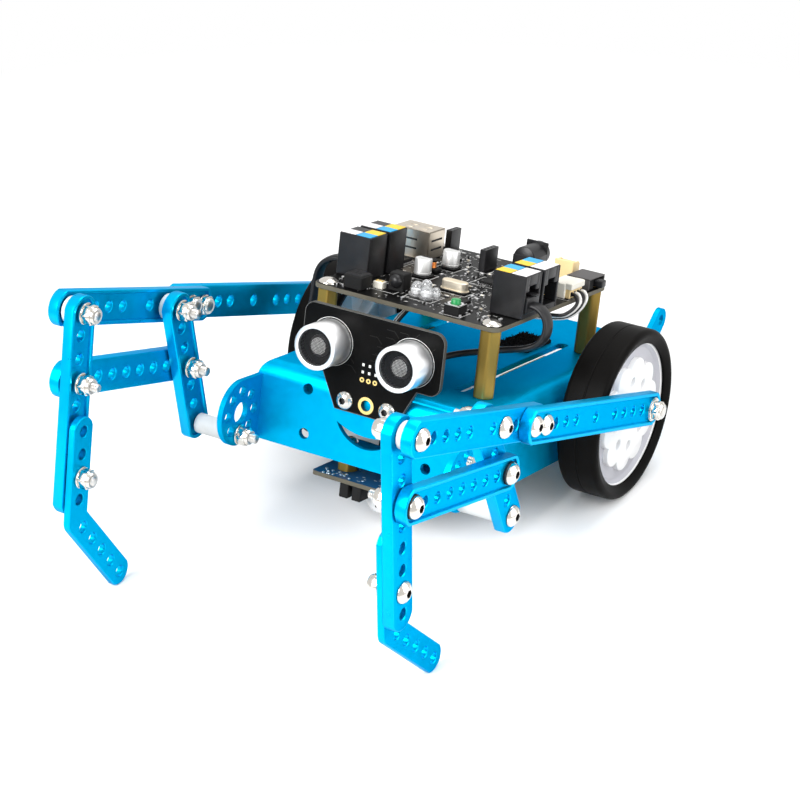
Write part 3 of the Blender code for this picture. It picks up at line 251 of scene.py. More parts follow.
# Each finish: colour, roughness, metallic, grain per metre, bump strength and how far the colour varies
FINISHES = {
    "blue": ((0.0, 0.37, 0.66), 0.38, 0.75, 5200, 0.02, 0.03),
    # The edge blue is a lighter, glossier copy of the blue: painted highlight on the edges, lips and bores
    # of beams and feet
    "blue_painted_highlight": ((0.0, 0.45, 0.76), 0.30, 0.75, 5200, 0.01, 0.03),
    "steel": ((0.66, 0.63, 0.58), 0.15, 1.0, 2600, 0.06, 0.08),
    "thread": ((0.60, 0.58, 0.55), 0.30, 1.0, 2600, 0.10, 0.10),
    # Near-black painted shade: inside bolt sockets, in the groove under leg bolt heads and on the data
    # socket's slots
    "socket_dark": ((0.06, 0.06, 0.06), 0.45, 0.8, 2600, 0.06, 0.10),
    "white": ((0.90, 0.90, 0.90), 0.42, 0.0, 1800, 0.05, 0.03),
    "nylon": ((0.66, 0.67, 0.66), 0.48, 0.0, 2400, 0.05, 0.05),
    "rubber": ((0.003, 0.0027, 0.0025), 0.45, 0.0, 2400, 0.08, 0.20),
    "brass": ((0.26, 0.175, 0.042), 0.32, 0.6, 1600, 0.02, 0.03),
    "black": ((0.009, 0.009, 0.010), 0.36, 0.0, 3000, 0.08, 0.20),
    "matte": ((0.008, 0.008, 0.008), 0.65, 0.0, 3000, 0.10, 0.20),
    "board": ((0.004, 0.004, 0.004), 0.30, 0.0, 1400, 0.03, 0.35),
    "trace": ((0.012, 0.0115, 0.011), 0.30, 0.0, 1400, 0.03, 0.25),
    "laminate": ((0.085, 0.075, 0.050), 0.60, 0.0, 2200, 0.10, 0.20),
    "silk": ((0.72, 0.72, 0.70), 0.60, 0.0, 3200, 0.08, 0.10),
    "gold": ((0.90, 0.66, 0.24), 0.32, 0.5, 2600, 0.06, 0.10),
    "solder": ((0.66, 0.66, 0.67), 0.30, 1.0, 2200, 0.12, 0.12),
    "navy": ((0.008, 0.075, 0.17), 0.34, 0.0, 1400, 0.05, 0.15),
    "shell": ((0.62, 0.55, 0.45), 0.30, 1.0, 1800, 0.06, 0.10),
    "alloy": ((0.82, 0.82, 0.82), 0.36, 0.9, 2800, 0.06, 0.06),
    # The woven wire is darkened to near-black: painted shade inside the can
    "wire_mesh_painted_shade": ((0.045, 0.045, 0.047), 0.40, 0.8, 2800, 0.06, 0.10),
    # The cone's near-white is partly its own pale colour and partly painted light
    "cone": ((0.95, 0.94, 0.91), 0.45, 0.0, 2200, 0.05, 0.08),
    "champagne": ((0.80, 0.72, 0.58), 0.38, 0.8, 2200, 0.06, 0.08),
    "copper": ((0.75, 0.27, 0.07), 0.32, 1.0, 1800, 0.08, 0.12),
    "yellow": ((0.72, 0.47, 0.04), 0.42, 0.0, 1800, 0.05, 0.06),
    "green": ((0.0, 0.22, 0.05), 0.38, 0.0, 2000, 0.05, 0.06),
    "label_blue": ((0.0, 0.33, 0.66), 0.42, 0.0, 2600, 0.05, 0.05),
    "label_yellow": ((0.80, 0.52, 0.01), 0.42, 0.0, 2600, 0.05, 0.05),
    "label_white": ((0.78, 0.76, 0.77), 0.42, 0.0, 2600, 0.05, 0.04),
    "cream": ((0.76, 0.57, 0.28), 0.40, 0.0, 2000, 0.05, 0.06),
    "ivory": ((0.76, 0.73, 0.64), 0.42, 0.0, 2000, 0.05, 0.05),
    "can": ((0.76, 0.76, 0.75), 0.44, 0.75, 2600, 0.06, 0.05),
    # A greyer white for the hub's recess floor: painted shade
    "hub_painted_shade": ((0.46, 0.46, 0.50), 0.46, 0.0, 1800, 0.05, 0.03),
    "dark_edge": ((0.030, 0.028, 0.022), 0.55, 0.0, 2200, 0.10, 0.25),
    # A pale line just inside the sensor board's edge: painted highlight
    "painted_edge_highlight": ((0.075, 0.075, 0.072), 0.50, 0.0, 3200, 0.05, 0.10),
    "grey": ((0.10, 0.095, 0.095), 0.40, 0.3, 2600, 0.06, 0.10),
    "lead": ((0.008, 0.008, 0.009), 0.40, 0.0, 2400, 0.06, 0.20),
    "wire_white": ((0.74, 0.73, 0.70), 0.42, 0.0, 2400, 0.05, 0.05),
    "hook": ((0.012, 0.012, 0.013), 0.85, 0.0, 2600, 0.90, 0.40),
    "clear": ((0.92, 0.93, 0.92), 0.10, 0.0, 1500, 0.04, 0.02),
    "frost": ((0.95, 0.96, 0.97), 0.06, 0.0, 1500, 0.04, 0.02),
}
TRANSMISSION = {"clear": 0.85, "frost": 0.8}
SPECULAR = {
    "blue": 0.0, "blue_painted_highlight": 0.1, "rubber": 0.04, "black": 0.3, "matte": 0.15, "board": 0.04,
    "trace": 0.06, "lead": 0.3, "hook": 0.05, "navy": 0.3,
}
FINE_TO_BROAD = 18
BUMP_DISTANCE = 0.0002
ROUND_SIDES = 36

JOINTS = {joint["name"]: joint for joint in frame["joints"]}
BODY_OF = {node: body for body, nodes in frame["record"]["behaviour"]["bodies"].items() for node in nodes}


def stand_matrix():
    """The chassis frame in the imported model: origin on the ground pivot, Z against the button's press."""
    up = -Vector(JOINTS["button_press"]["axis"])
    right = Vector((1, 0, 0))
    matrix = Matrix((right, up.cross(right), up)).transposed().to_4x4()
    matrix.translation = Vector(JOINTS["right_rocker_swing"]["pos_m"])
    return matrix


STAND = stand_matrix()
TO_FRAME = STAND @ Matrix.Scale(MM, 4)

# Takes a drawing in X and Z, with heights towards the front, into the chassis frame
FORWARD = Matrix(((1, 0, 0, 0), (0, 0, -1, 0), (0, 1, 0, 0), (0, 0, 0, 1)))


# Materials

def node(tree, kind, values=(), **settings):
    """A new shader node with values on its named sockets."""
    made = tree.nodes.new(f"ShaderNode{kind}")
    for name, value in dict(values).items():
        made.inputs[name].default_value = value
    for name, value in settings.items():
        setattr(made, name, value)
    return made


def join(tree, *pairs):
    """Links from outputs to inputs."""
    for start, end in pairs:
        tree.links.new(start, end)


def finish(name):
    """The named procedural material, made the first time it is asked for."""
    found = bpy.data.materials.get(f"{name}_finish")
    if found:
        return found
    colour, roughness, metallic, grain, bump, vary = FINISHES[name]
    made = bpy.data.materials.new(f"{name}_finish")
    made.use_nodes = True
    tree = made.node_tree
    shader = tree.nodes["Principled BSDF"].inputs
    shader["Metallic"].default_value = metallic
    shader["Specular IOR Level"].default_value = SPECULAR.get(name, 0.5)
    shader["Transmission Weight"].default_value = TRANSMISSION.get(name, 0.0)
    if 0 < metallic < 1:
        shader["Specular Tint"].default_value = (*colour, 1)
    place = node(tree, "TexCoord").outputs["Object"]
    fine = node(tree, "TexNoise", {"Scale": grain, "Detail": 4})
    broad = node(tree, "TexNoise", {"Scale": grain / FINE_TO_BROAD, "Detail": 3})
    tint = node(tree, "ValToRGB")
    for stop, factor, position in zip(tint.color_ramp.elements, (1 - vary, 1 + vary), (0.3, 0.7)):
        stop.position = position
        stop.color = (*(min(1.0, c * factor) for c in colour), 1)
    sheen = node(tree, "MapRange", {"To Min": roughness * 0.8, "To Max": min(1.0, roughness * 1.2)})
    relief = node(tree, "Bump", {"Strength": bump, "Distance": BUMP_DISTANCE})
    join(
        tree, (place, fine.inputs["Vector"]), (place, broad.inputs["Vector"]),
        (broad.outputs["Fac"], tint.inputs["Fac"]), (tint.outputs["Color"], shader["Base Color"]),
        (broad.outputs["Fac"], sheen.inputs["Value"]), (sheen.outputs["Result"], shader["Roughness"]),
        (fine.outputs["Fac"], relief.inputs["Height"]), (relief.outputs["Normal"], shader["Normal"]),
    )
    return made


# Outlines

def arc(centre, radius, start, end, sides):
    """Points along an arc, both ends included."""
    return [
        (
            centre[0] + radius * math.cos(start + (end - start) * i / sides),
            centre[1] + radius * math.sin(start + (end - start) * i / sides),
        )
        for i in range(sides + 1)
    ]


def circle(centre, radius, sides=24):
    return arc(centre, radius, 0, math.tau, sides)[:-1]


def sagged_end(half, sag, sides=10):
    """A shallow arc across a bar's end, from -half to half, its tip on (half, 0)."""
    radius = (half**2 + sag**2) / (2 * sag)
    spread = math.asin(half / radius)
    return arc((half - radius, 0), radius, -spread, spread, sides)


def bar_outline(length, width, sag):
    """A bar's outline about the holes at (0, 0) and (length, 0)."""
    end = sagged_end(width / 2, sag)
    return [(length + x - 0.1, y) for x, y in end] + [(0.1 - x, -y) for x, y in end]


def rounded_box(width, depth, corner, centre=(0, 0), sides=4):
    """A rectangle's outline with round corners."""
    points = []
    for quarter, (sx, sy) in enumerate(((1, 1), (-1, 1), (-1, -1), (1, -1))):
        middle = (centre[0] + sx * (width / 2 - corner), centre[1] + sy * (depth / 2 - corner))
        start = quarter * math.pi / 2
        points += arc(middle, corner, start, start + math.pi / 2, sides)
    return points


def inset(points, distance):
    """An outline that runs counterclockwise, taken in by a distance."""
    moved = []
    for i, point in enumerate(points):
        here = Vector(point)
        before = (here - Vector(points[i - 1])).normalized()
        after = (Vector(points[(i + 1) % len(points)]) - here).normalized()
        inward = Vector((-before.y - after.y, before.x + after.x)).normalized()
        lean = max(0.3, inward.dot(Vector((-after.y, after.x))))
        moved.append(tuple(here + inward * distance / lean))
    return moved


def smooth_route(route, per_span=6):
    """A smooth curve through the route's points."""
    points = [Vector(p) for p in route]
    points = [2 * points[0] - points[1], *points, 2 * points[-1] - points[-2]]
    smooth = []
    for a, b, c, d in zip(points, points[1:], points[2:], points[3:]):
        for i in range(per_span):
            t = i / per_span
            bend = (2 * a - 5 * b + 4 * c - d) * t**2 + (3 * b - a - 3 * c + d) * t**3
            smooth.append(0.5 * (2 * b + (c - a) * t + bend))
    return smooth + [points[-2]]


def facing(origin, along, out):
    """A matrix whose X runs along, whose Z points out and whose origin is the given point."""
    along = Vector(along).normalized()
    out = Vector(out).normalized()
    matrix = Matrix((along, out.cross(along), out)).transposed().to_4x4()
    matrix.translation = origin
    return matrix


def at(x, point):
    """A chassis-frame point from a distance across and a (Y, Z) pair."""
    return Vector((x, point[0], point[1]))


def reach(radius, angle, section):
    """How far a section's outline is from its middle at an angle: a hexagon's radius is to its flats."""
    if section == "cross":
        return radius if abs((angle + math.pi / 4) % (math.pi / 2) - math.pi / 4) < 0.3 else radius * 0.4
    if section == "round":
        return radius
    flat = radius / math.cos((angle % (math.pi / 3)) - math.pi / 6)
    return min(flat, radius * 1.1) if section == "nut" else flat


class Shape:
    """A mesh in the making. New faces take the material picked last and go through the matrix set last."""

    def __init__(self, material, matrix=None):
        self.mesh = bmesh.new()
        self.materials = []
        self.use(material)
        self.move(matrix)

    def use(self, material):
        if material not in self.materials:
            self.materials.append(material)
        self.index = self.materials.index(material)

    def move(self, matrix=None):
        self.matrix = Matrix() if matrix is None else matrix

    def ring(self, points, height):
        return [self.mesh.verts.new(self.matrix @ Vector((x, y, height))) for x, y in points]

    def face(self, corners):
        self.mesh.faces.new(corners).material_index = self.index

    def wall(self, low, high):
        """Faces between two rings with the same number of points."""
        for i, vertex in enumerate(low):
            j = (i + 1) % len(low)
            self.face((vertex, low[j], high[j], high[i]))

    def cap(self, outer, holes=()):
        """A flat face inside the outer ring and outside the holes."""
        if not holes:
            self.face(outer)
            return
        edges = []
        for loop in (outer, *holes):
            for i, vertex in enumerate(loop):
                pair = (vertex, loop[(i + 1) % len(loop)])
                edges.append(self.mesh.edges.get(pair) or self.mesh.edges.new(pair))
        made = bmesh.ops.triangle_fill(self.mesh, use_beauty=True, use_dissolve=False, edges=edges)
        for part in made["geom"]:
            if isinstance(part, bmesh.types.BMFace):
                part.material_index = self.index

    def plate(self, outline, skin, holes=(), bore=(), edge=None):
        """A flat piece. The skin's (inset, height) steps lead from one face to the other, and so do the
        bore's (growth, height) steps in each (centre, radius) hole. The edge's material is on the steps."""
        face = self.materials[self.index]
        self.use(edge or face)
        rings = [self.ring(inset(outline, taken), height) for taken, height in skin]
        bores = []
        for centre, radius in holes:
            bores.append([self.ring(circle(centre, radius + more), height) for more, height in bore])
        for loops in (rings, *bores):
            for low, high in zip(loops, loops[1:]):
                self.wall(low, high)
        self.use(face)
        self.cap(rings[0], [loops[0] for loops in bores])
        self.cap(rings[-1], [loops[-1] for loops in bores])

    def block(self, low, high, corner):
        """A box with softened edges."""
        centre = ((low[0] + high[0]) / 2, (low[1] + high[1]) / 2)
        outline = rounded_box(high[0] - low[0], high[1] - low[1], corner, centre, 3)
        soft = 0.8 * corner
        self.plate(outline, [(soft, low[2]), (0, low[2] + soft), (0, high[2] - soft), (soft, high[2])])

    def blocks(self, material, corner, *boxes):
        """Boxes of one material with softened edges, each from its (x, x, y, y, z, z) limits."""
        self.use(material)
        for x0, x1, y0, y1, z0, z1 in boxes:
            self.block((x0, y0, z0), (x1, y1, z1), corner)

    def slab(self, outline, low, high):
        """A flat piece with square edges."""
        self.plate(outline, [(0, low), (0, high)])

    def turned(self, levels, sides=ROUND_SIDES):
        """A turned piece about local Z from (height, radius, section) levels. A word picks a material."""
        last = None
        for level in levels:
            if isinstance(level, str):
                self.use(level)
                continue
            height, radius, section = (*level, "round")[:3]
            points = []
            for x, y in circle((0, 0), 1, sides):
                out = reach(radius, math.atan2(y, x), section)
                points.append((out * x, out * y))
            loop = self.ring(points, height)
            if last:
                self.wall(last, loop)
            else:
                self.cap(loop)
            last = loop
        self.cap(last)

    def hoop(self, profile, sides=96):
        """A ring-shaped piece about local Z from a closed (radius, height) profile."""
        loops = []
        for i in range(sides):
            turned = self.matrix @ Matrix.Rotation(math.tau * i / sides, 4, "Z")
            loops.append([self.mesh.verts.new(turned @ Vector((r, 0, z))) for r, z in profile])
        for i, loop in enumerate(loops):
            self.wall(loop, loops[(i + 1) % sides])

    def washer(self, inner, outer, low, high, sides=ROUND_SIDES):
        """A flat ring about local Z."""
        self.hoop([(inner, low), (outer, low), (outer, high), (inner, high)], sides)

    def loft(self, loops):
        """Walls between rings in turn, with a face on each end."""
        self.cap(loops[0])
        for low, high in zip(loops, loops[1:]):
            self.wall(low, high)
        self.cap(loops[-1])

    def sweep(self, points, section):
        """A tube along points, with a closed (across, up) section that starts with its width level."""
        side = Vector((0, 0, 1)).cross(points[1] - points[0]).normalized()
        loops = []
        for i, point in enumerate(points):
            along = (points[min(i + 1, len(points) - 1)] - points[max(i - 1, 0)]).normalized()
            side = (side - along * side.dot(along)).normalized()
            up = along.cross(side)
            spots = [self.matrix @ (point + side * a + up * b) for a, b in section]
            loops.append([self.mesh.verts.new(spot) for spot in spots])
        self.loft(loops)

    def strip(self, points, width, height, thick):
        """A flat line of even width along (x, y) points, just above a height."""
        left, right = [], []
        for i, point in enumerate(points):
            before = Vector(points[max(i - 1, 0)])
            after = Vector(points[min(i + 1, len(points) - 1)])
            along = (after - before).normalized()
            off = Vector((-along.y, along.x)) * width / 2
            left.append(tuple(Vector(point) + off))
            right.append(tuple(Vector(point) - off))
        outline = right + left[::-1]
        self.loft([self.ring(outline, height), self.ring(outline, height + thick)])


def make(name, shape, body, angle=38):
    """The shape as an object that rides on a body, with the finishes of the materials its faces picked."""
    bmesh.ops.recalc_face_normals(shape.mesh, faces=shape.mesh.faces)
    mesh = bpy.data.meshes.new(name)
    shape.mesh.to_mesh(mesh)
    shape.mesh.free()
    mesh.transform(TO_FRAME)
    for material in shape.materials:
        mesh.materials.append(finish(material))
    mesh.shade_smooth()
    mesh.set_sharp_from_angle(angle=math.radians(angle))
    made = bpy.data.objects.new(name, mesh)
    bpy.context.collection.objects.link(made)
    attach(made, body)
    return made


def stand_in(node, shape, angle=38):
    """The shape in the place of a node of the solid model."""
    made = make(f"{node}_detail", shape, BODY_OF[node], angle)
    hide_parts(node)
    return made


# Fasteners

def head(start, radius=3.8, height=2.2, socket="hex"):
    """A button head's levels from its seat outwards, with its socket."""
    dome = ((0, 0.95), (0.08, 1.0), (0.25, 0.98), (0.5, 0.88), (0.75, 0.72), (0.94, 0.52), (1.0, 0.43))
    levels = ["steel", *((start + height * h, radius * r) for h, r in dome)]
    if not socket:
        return levels + [(start + height * 1.03, radius * 0.25), (start + height * 1.04, radius * 0.05)]
    grip = radius * (0.33 if socket == "hex" else 0.4)
    floor = start + height * 0.35
    # The socket's walls and floor are near-black painted shade
    levels += [(start + height, grip, socket), "socket_dark", (floor, grip * 0.97, socket)]
    return levels + [(floor, grip / 3)]


def thread(start, end, radius):
    """A threaded bolt end's levels."""
    turns = max(2, round(abs(end - start) / 0.6))
    step = (end - start) / turns
    levels = ["thread"]
    for i in range(turns):
        levels += [(start + step * i, radius * 0.88), (start + step * (i + 0.5), radius)]
    return levels + [(end, radius * 0.75)]


def lock_nut(start, way, radius=BOLT_RADIUS, washer=3.7, tail=BOLT_TAIL, tall=1.0):
    """A lock nut's levels from its seat outwards: washer, hexagon, collar, nylon ring and bolt's end."""
    steps = [
        "steel", (0, radius), (0, washer * 0.97), (0.2, washer), (0.5, washer), (0.7, washer * 0.95),
        (0.7, 3.1), (1, 3.2, "nut"), (3.5, 3.2, "nut"), (3.9, 3.1), (3.9, 2.9), (4.6, 2.8), (5, 2.5),
        "nylon", (4.9, 2.2), (4.5, radius),
    ]
    way *= tall
    levels = [s if isinstance(s, str) else (start + way * s[0], *s[1:]) for s in steps]
    return levels + thread(start + way * 4.5, start + way * (5 + tail), radius)


def bolt(shape, matrix, inner, outer, spacers_and_painted_shade=(), radius=BOLT_RADIUS, tail=BOLT_TAIL, tall=1.0):
    """A bolt across the layers: its nut at the inner height, its head at the outer, flat rings between, some
    of them near-black rings of painted shade.
    """
    shape.move(matrix)
    shape.turned(lock_nut(inner, -1, radius, tail=tail, tall=tall))
    shape.turned(["steel", (inner, radius), (outer, radius)])
    shape.turned(head(outer))
    for low, high, reach_out, material in spacers_and_painted_shade:
        edge = (high - low) * 0.2
        shape.turned([material, (low, reach_out - edge), (low + edge, reach_out), (high - edge, reach_out),
                      (high, reach_out - edge)])


def screw(shape, matrix, radius=3.1, height=2.1, socket="cross"):
    """A pan-headed screw with a cross recess or none, its seat on the matrix's origin."""
    shape.move(matrix)
    shape.turned(head(0, radius, height, socket), 48)


# Legs

def beam(node, start, towards, layer, side, places, groove_out, loose=()):
    """A grooved bar with a row of holes from one pivot towards another."""
    matrix = facing(at(side * layer, start), at(0, towards) - at(0, start), (side, 0, 0))
    outline = bar_outline(places[-1] * HOLE_PITCH, BEAM_WIDTH, BEAM_END_SAG)
    holes = [((p * HOLE_PITCH, 0), HOLE_RADIUS + (0.3 if p in loose else 0)) for p in places]
    rim, floor = BEAM_THICK, BEAM_THICK - GROOVE_DEPTH
    skin = [(0.5, 0), (0.15, 0.12), (0, 0.45), (0, rim - 0.3), (0.25, rim)]
    skin += [(GROOVE_INSET - 0.2, rim), (GROOVE_INSET, rim - 0.2), (GROOVE_INSET + 0.1, floor)]
    bore = [(0.3, 0), (0, 0.3), (0, floor - 0.2), (0.2, floor)]
    if not groove_out:
        skin = [(taken, rim - height) for taken, height in skin]
        bore = [(more, rim - height) for more, height in bore]
    shape = Shape("blue", matrix)
    # The lighter edge blue on the steps is painted highlight
    shape.plate(outline, skin, holes, bore, "blue_painted_highlight")
    stand_in(node, shape)


def foot(node, hip, knee, side):
    """The bent plate inside the leg, with its lower arm swept to the rear."""
    half = FOOT_WIDTH / 2
    first = FOOT_FIRST_HOLE * HOLE_PITCH
    span = FOOT_LOWER_FIRST + (FOOT_LOWER_HOLES - 1) * HOLE_PITCH
    turn = Matrix.Rotation(FOOT_BEND, 2)
    corner = Vector((FOOT_CORNER, 0))
    end = sagged_end(half, FOOT_END_SAG)
    outline = [(first - x, -y) for x, y in end]
    outline += arc(corner, half - 0.1, -math.pi / 2, -math.pi / 2 + FOOT_BEND, 8)
    outline += [tuple(corner + turn @ Vector((span + x, y))) for x, y in end]
    outline += [(FOOT_CORNER - half * math.tan(FOOT_BEND / 2), half)]
    places = [Vector((first + i * HOLE_PITCH, 0)) for i in range(FOOT_UPPER_HOLES)]
    for i in range(FOOT_LOWER_HOLES):
        places.append(corner + turn @ Vector((FOOT_LOWER_FIRST + i * HOLE_PITCH, 0)))
    if side < 0:
        outline = [(x, -y) for x, y in outline[::-1]]
        places = [Vector((p.x, -p.y)) for p in places]
    low, high = -FOOT_THICK - 0.1, -0.1
    skin = [(0.3, low), (0, low + 0.3), (0, high - 0.3), (0.3, high)]
    bore = [(0.2, low), (0, low + 0.2), (0, high - 0.2), (0.2, high)]
    matrix = facing(at(side * LAYER_1, hip), at(0, knee) - at(0, hip), (side, 0, 0))
    shape = Shape("blue", matrix)
    # The lighter edge blue on the steps is painted highlight
    shape.plate(outline, skin, [(tuple(p), HOLE_RADIUS) for p in places], bore, "blue_painted_highlight")
    stand_in(node, shape)


def leg_pivots(label):
    """The (Y, Z) places of one leg's pivots in the chassis frame, from the model's joints and bolts."""
    back = TO_FRAME.inverted()
    found = {}
    for key, joint in (("top", "upper"), ("hip", "hip"), ("middle", "lower")):
        spot = back @ Vector(JOINTS[f"{label}_{joint}_pivot"]["pos_m"])
        found[key] = (spot.y, spot.z)
    for key in ("knee_bolt", "crank_pin"):
        low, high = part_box(f"{label}_{key}")
        spot = back @ ((Vector(low) + Vector(high)) / 2)
        found[key.split("_")[0]] = (spot.y, spot.z)
    return found


def across(side, point):
    """An axis through a (Y, Z) point that points out of one side."""
    return facing(at(0, point), (0, 1, 0), (side, 0, 0))


def leg(side, label):
    """One side's rocker, links, leg and foot with their bolts."""
    points = leg_pivots(label)
    top, hip, middle, knee, crank = (points[key] for key in ("top", "hip", "middle", "knee", "crank"))
    forward = HOLE_PITCH * (Vector(hip) - Vector(top)).normalized()
    down = HOLE_PITCH * (Vector(knee) - Vector(hip)).normalized()
    splice = Vector(hip) - FRONT_LINK_SPLICE * forward
    beam(f"{label}_rocker", top, GROUND, LAYER_1, side, range(7), False)
    beam(f"{label}_front_link", hip, top, LAYER_2, side, FRONT_LINK_HOLES, False)
    beam(f"{label}_rear_beam", splice, crank, LAYER_3, side, REAR_BEAM_HOLES, True)
    beam(f"{label}_lower_link", knee, middle, LAYER_LOWER, side, range(9), True, (0,))
    beam(f"{label}_leg", hip, knee, LAYER_1, side, range(9), False)
    foot(f"{label}_foot", hip, knee, side)
    pivot_bolts(side, label, points)
    crank_pin(side, label, crank)

    shape = Shape("steel")
    groove_floor = LAYER_3 + BEAM_THICK - GROOVE_DEPTH
    for spot in (splice, splice - forward):
        bolt(shape, across(side, spot), LAYER_2 - SEAT, groove_floor, tail=0.2, tall=0.6)
    make(f"{label}_splice_bolts", shape, BODY_OF[f"{label}_rear_beam"])
    shape = Shape("steel")
    spot = Vector(hip) + FOOT_BOLT_HOLE * down
    bolt(shape, across(side, spot), LAYER_1 - FOOT_THICK - 2 * SEAT, LAYER_1 + BEAM_THICK, tail=0.4)
    make(f"{label}_foot_bolt", shape, BODY_OF[f"{label}_foot"])


def pivot_bolts(side, label, points):
    """The bolts that a leg's beams turn on, and the spacer on the ground bolt."""
    far_1, far_2, far_lower = (layer + BEAM_THICK for layer in (LAYER_1, LAYER_2, LAYER_LOWER))
    between = (far_1 + SEAT, LAYER_2 - SEAT, 4.5, "nylon")
    thin = (far_1 + SEAT, LAYER_LOWER - SEAT, 4.5, "steel")
    # A near-black ring in the groove round the head: painted shade, not a part
    groove_painted_shade = (far_lower - GROOVE_DEPTH, far_lower + SEAT, 4, "socket_dark")
    for name, outer, spacers_and_painted_shade, radius, tail in (
        ("top", far_2, (between,), BOLT_RADIUS, BOLT_TAIL),
        ("hip", far_2, (between,), BOLT_RADIUS, FLUSH_TAIL),
        ("middle", far_lower, (thin, groove_painted_shade), BOLT_RADIUS, BOLT_TAIL),
        ("knee", far_lower, (thin, groove_painted_shade), LOOSE_BOLT_RADIUS, BOLT_TAIL),
    ):
        shape = Shape("steel")
        bolt(shape, across(side, points[name]), LAYER_1 - SEAT, outer + SEAT, spacers_and_painted_shade, radius, tail)
        stand_in(f"{label}_{name}_bolt", shape)
    shape = Shape("steel")
    bolt(shape, across(side, GROUND), SIDE_IN - SEAT, far_1 + SEAT)
    stand_in(f"{label}_ground_bolt", shape)

    shape = Shape("nylon", across(side, GROUND))
    low, high = SIDE_OUT + SEAT, LAYER_1 - SEAT
    shape.hoop([(1.9, low), (3.3, low), (3.6, low + 0.3), (3.6, high - 0.3), (3.3, high), (1.9, high)], 48)
    stand_in(f"{label}_spacer", shape)


def crank_pin(side, label, crank):
    """The pin from the hub's web to the rear beam, with a nylon collar and a lock nut."""
    shape = Shape("steel", across(side, crank))
    collar = LAYER_3 - SEAT
    ring = collar - 1.2
    far = LAYER_3 + BEAM_THICK
    shape.turned(["thread", (WEB_OUT + 0.3, 1.4), (WEB_OUT + 0.6, BOLT_RADIUS), (ring, BOLT_RADIUS),
                  "nylon", (ring, 4.4), (collar - 0.2, 4.5), (collar, 4.3)])
    shape.turned(["steel", (collar, BOLT_RADIUS), (far, BOLT_RADIUS)])
    shape.turned([(far - GROOVE_DEPTH, 4.3), (far + SEAT, 4.3)])
    shape.turned(lock_nut(far + SEAT, 1, washer=4, tail=FLUSH_TAIL, tall=0.75))
    stand_in(f"{label}_crank_pin", shape)


# Wheels and motors

def lobed_disc(steps=12):
    """The outline of the hub's raised face: a disc with a ring of round lobes."""
    gap = math.tau / HUB_LOBES
    outline = []
    for i in range(HUB_LOBES * steps):
        angle = gap * i / steps
        off = (angle + gap / 2) % gap - gap / 2
        rise = math.sqrt(HUB_LOBE_RADIUS**2 - (HUB_LOBE_PLACE * math.sin(off)) ** 2)
        out = HUB_LOBE_PLACE * math.cos(off) + rise
        outline.append((out * math.cos(angle + HUB_LOBE_TURN), out * math.sin(angle + HUB_LOBE_TURN)))
    return outline


def hub(side, label):
    """A rim round a web with a lobed raised face, a ring of crank holes, a boss and ribs."""
    axis = across(side, AXLE)
    middle = (WHEEL_IN + WHEEL_OUT) / 2
    rim = (WHEEL_OUT - WHEEL_IN) / 2 - TYRE_LIP_DEPTH - SEAT
    near, far = middle - rim, middle + rim
    low = WEB_OUT - HUB_RISE
    outer, inner = RIM_RADIUS - SEAT, RIM_INNER
    shape = Shape("white", axis)
    shape.hoop([
        (inner + 0.4, near), (outer - 0.3, near), (outer, near + 0.3), (outer, far - 0.3),
        (outer - 0.3, far), (inner + 1.2, far), (inner + 0.3, far - 0.6), (inner, low - 0.2),
        (HUB_BORE, low - 0.2), (HUB_BORE, WEB_IN), (inner - 0.4, WEB_IN), (inner, WEB_IN - 0.4),
        (inner, near + 0.4),
    ])
    # The recess floor round the lobed face is a greyer white: painted shade
    shape.use("hub_painted_shade")
    shape.hoop([(12, low - 0.3), (inner + 0.1, low - 0.3), (inner + 0.9, far - 0.3),
                (inner + 0.5, far - 0.4), (inner - 0.6, low), (12, low)])
    shape.use("white")
    shape.hoop([(2.8, WEB_IN - 6.5), (6.2, WEB_IN - 6.5), (6.5, WEB_IN - 6.2), (6.5, WEB_IN + 0.5),
                (2.8, WEB_IN + 0.5)], 48)
    spin = side * math.atan2(*(Vector(leg_pivots(label)["crank"]) - Vector(AXLE)).yx)
    ring = arc((0, 0), CRANK_RADIUS, spin, spin + math.tau, 8)[:-1]
    holes = [(spot, HOLE_RADIUS) for spot in ring] + [((0, 0), HUB_BORE)]
    skin = [(0, low - 0.2), (0, WEB_OUT - 0.5), (0.15, WEB_OUT - 0.15), (0.5, WEB_OUT)]
    shape.plate(lobed_disc(), skin, holes, [(0, low - 0.2), (0, WEB_OUT - 0.3), (0.3, WEB_OUT)])
    for i in range(HUB_RIBS):
        shape.move(axis @ Matrix.Rotation(math.tau * (i + 0.25) / HUB_RIBS, 4, "Z"))
        shape.block((6, -0.6, WEB_IN - 4.5), (inner + 0.2, 0.6, WEB_IN + 0.3), 0.2)
    stand_in(f"{label}_hub", shape)


def tyre(side, label):
    """A rubber tyre with a recessed lip, a rounded shoulder and a fine line round its tread."""
    middle = (WHEEL_IN + WHEEL_OUT) / 2
    half = (WHEEL_OUT - WHEEL_IN) / 2
    face, lip, low = TYRE_FACE_RADIUS, TYRE_LIP_RADIUS, half - TYRE_LIP_DEPTH
    tread = [(RIM_RADIUS + SEAT, low), (lip + 0.2, low), (lip, low + 0.2), (lip, half - 1.4)]
    tread += [(lip + 0.3, half - 1), (face - 0.3, half - 0.1), (face, half)]
    crown = WHEEL_RADIUS - face - 0.3
    tread += arc((face + 0.3, half - crown), crown, math.pi / 2, 0, 8)
    tread += [(WHEEL_RADIUS, 0.4), (WHEEL_RADIUS - 0.18, 0.18)]
    profile = tread + [(WHEEL_RADIUS - 0.2, 0)] + [(r, -z) for r, z in tread[::-1]]
    shape = Shape("rubber", across(side, AXLE))
    shape.hoop([(r, middle + z) for r, z in profile], 128)
    stand_in(f"{label}_tyre", shape)


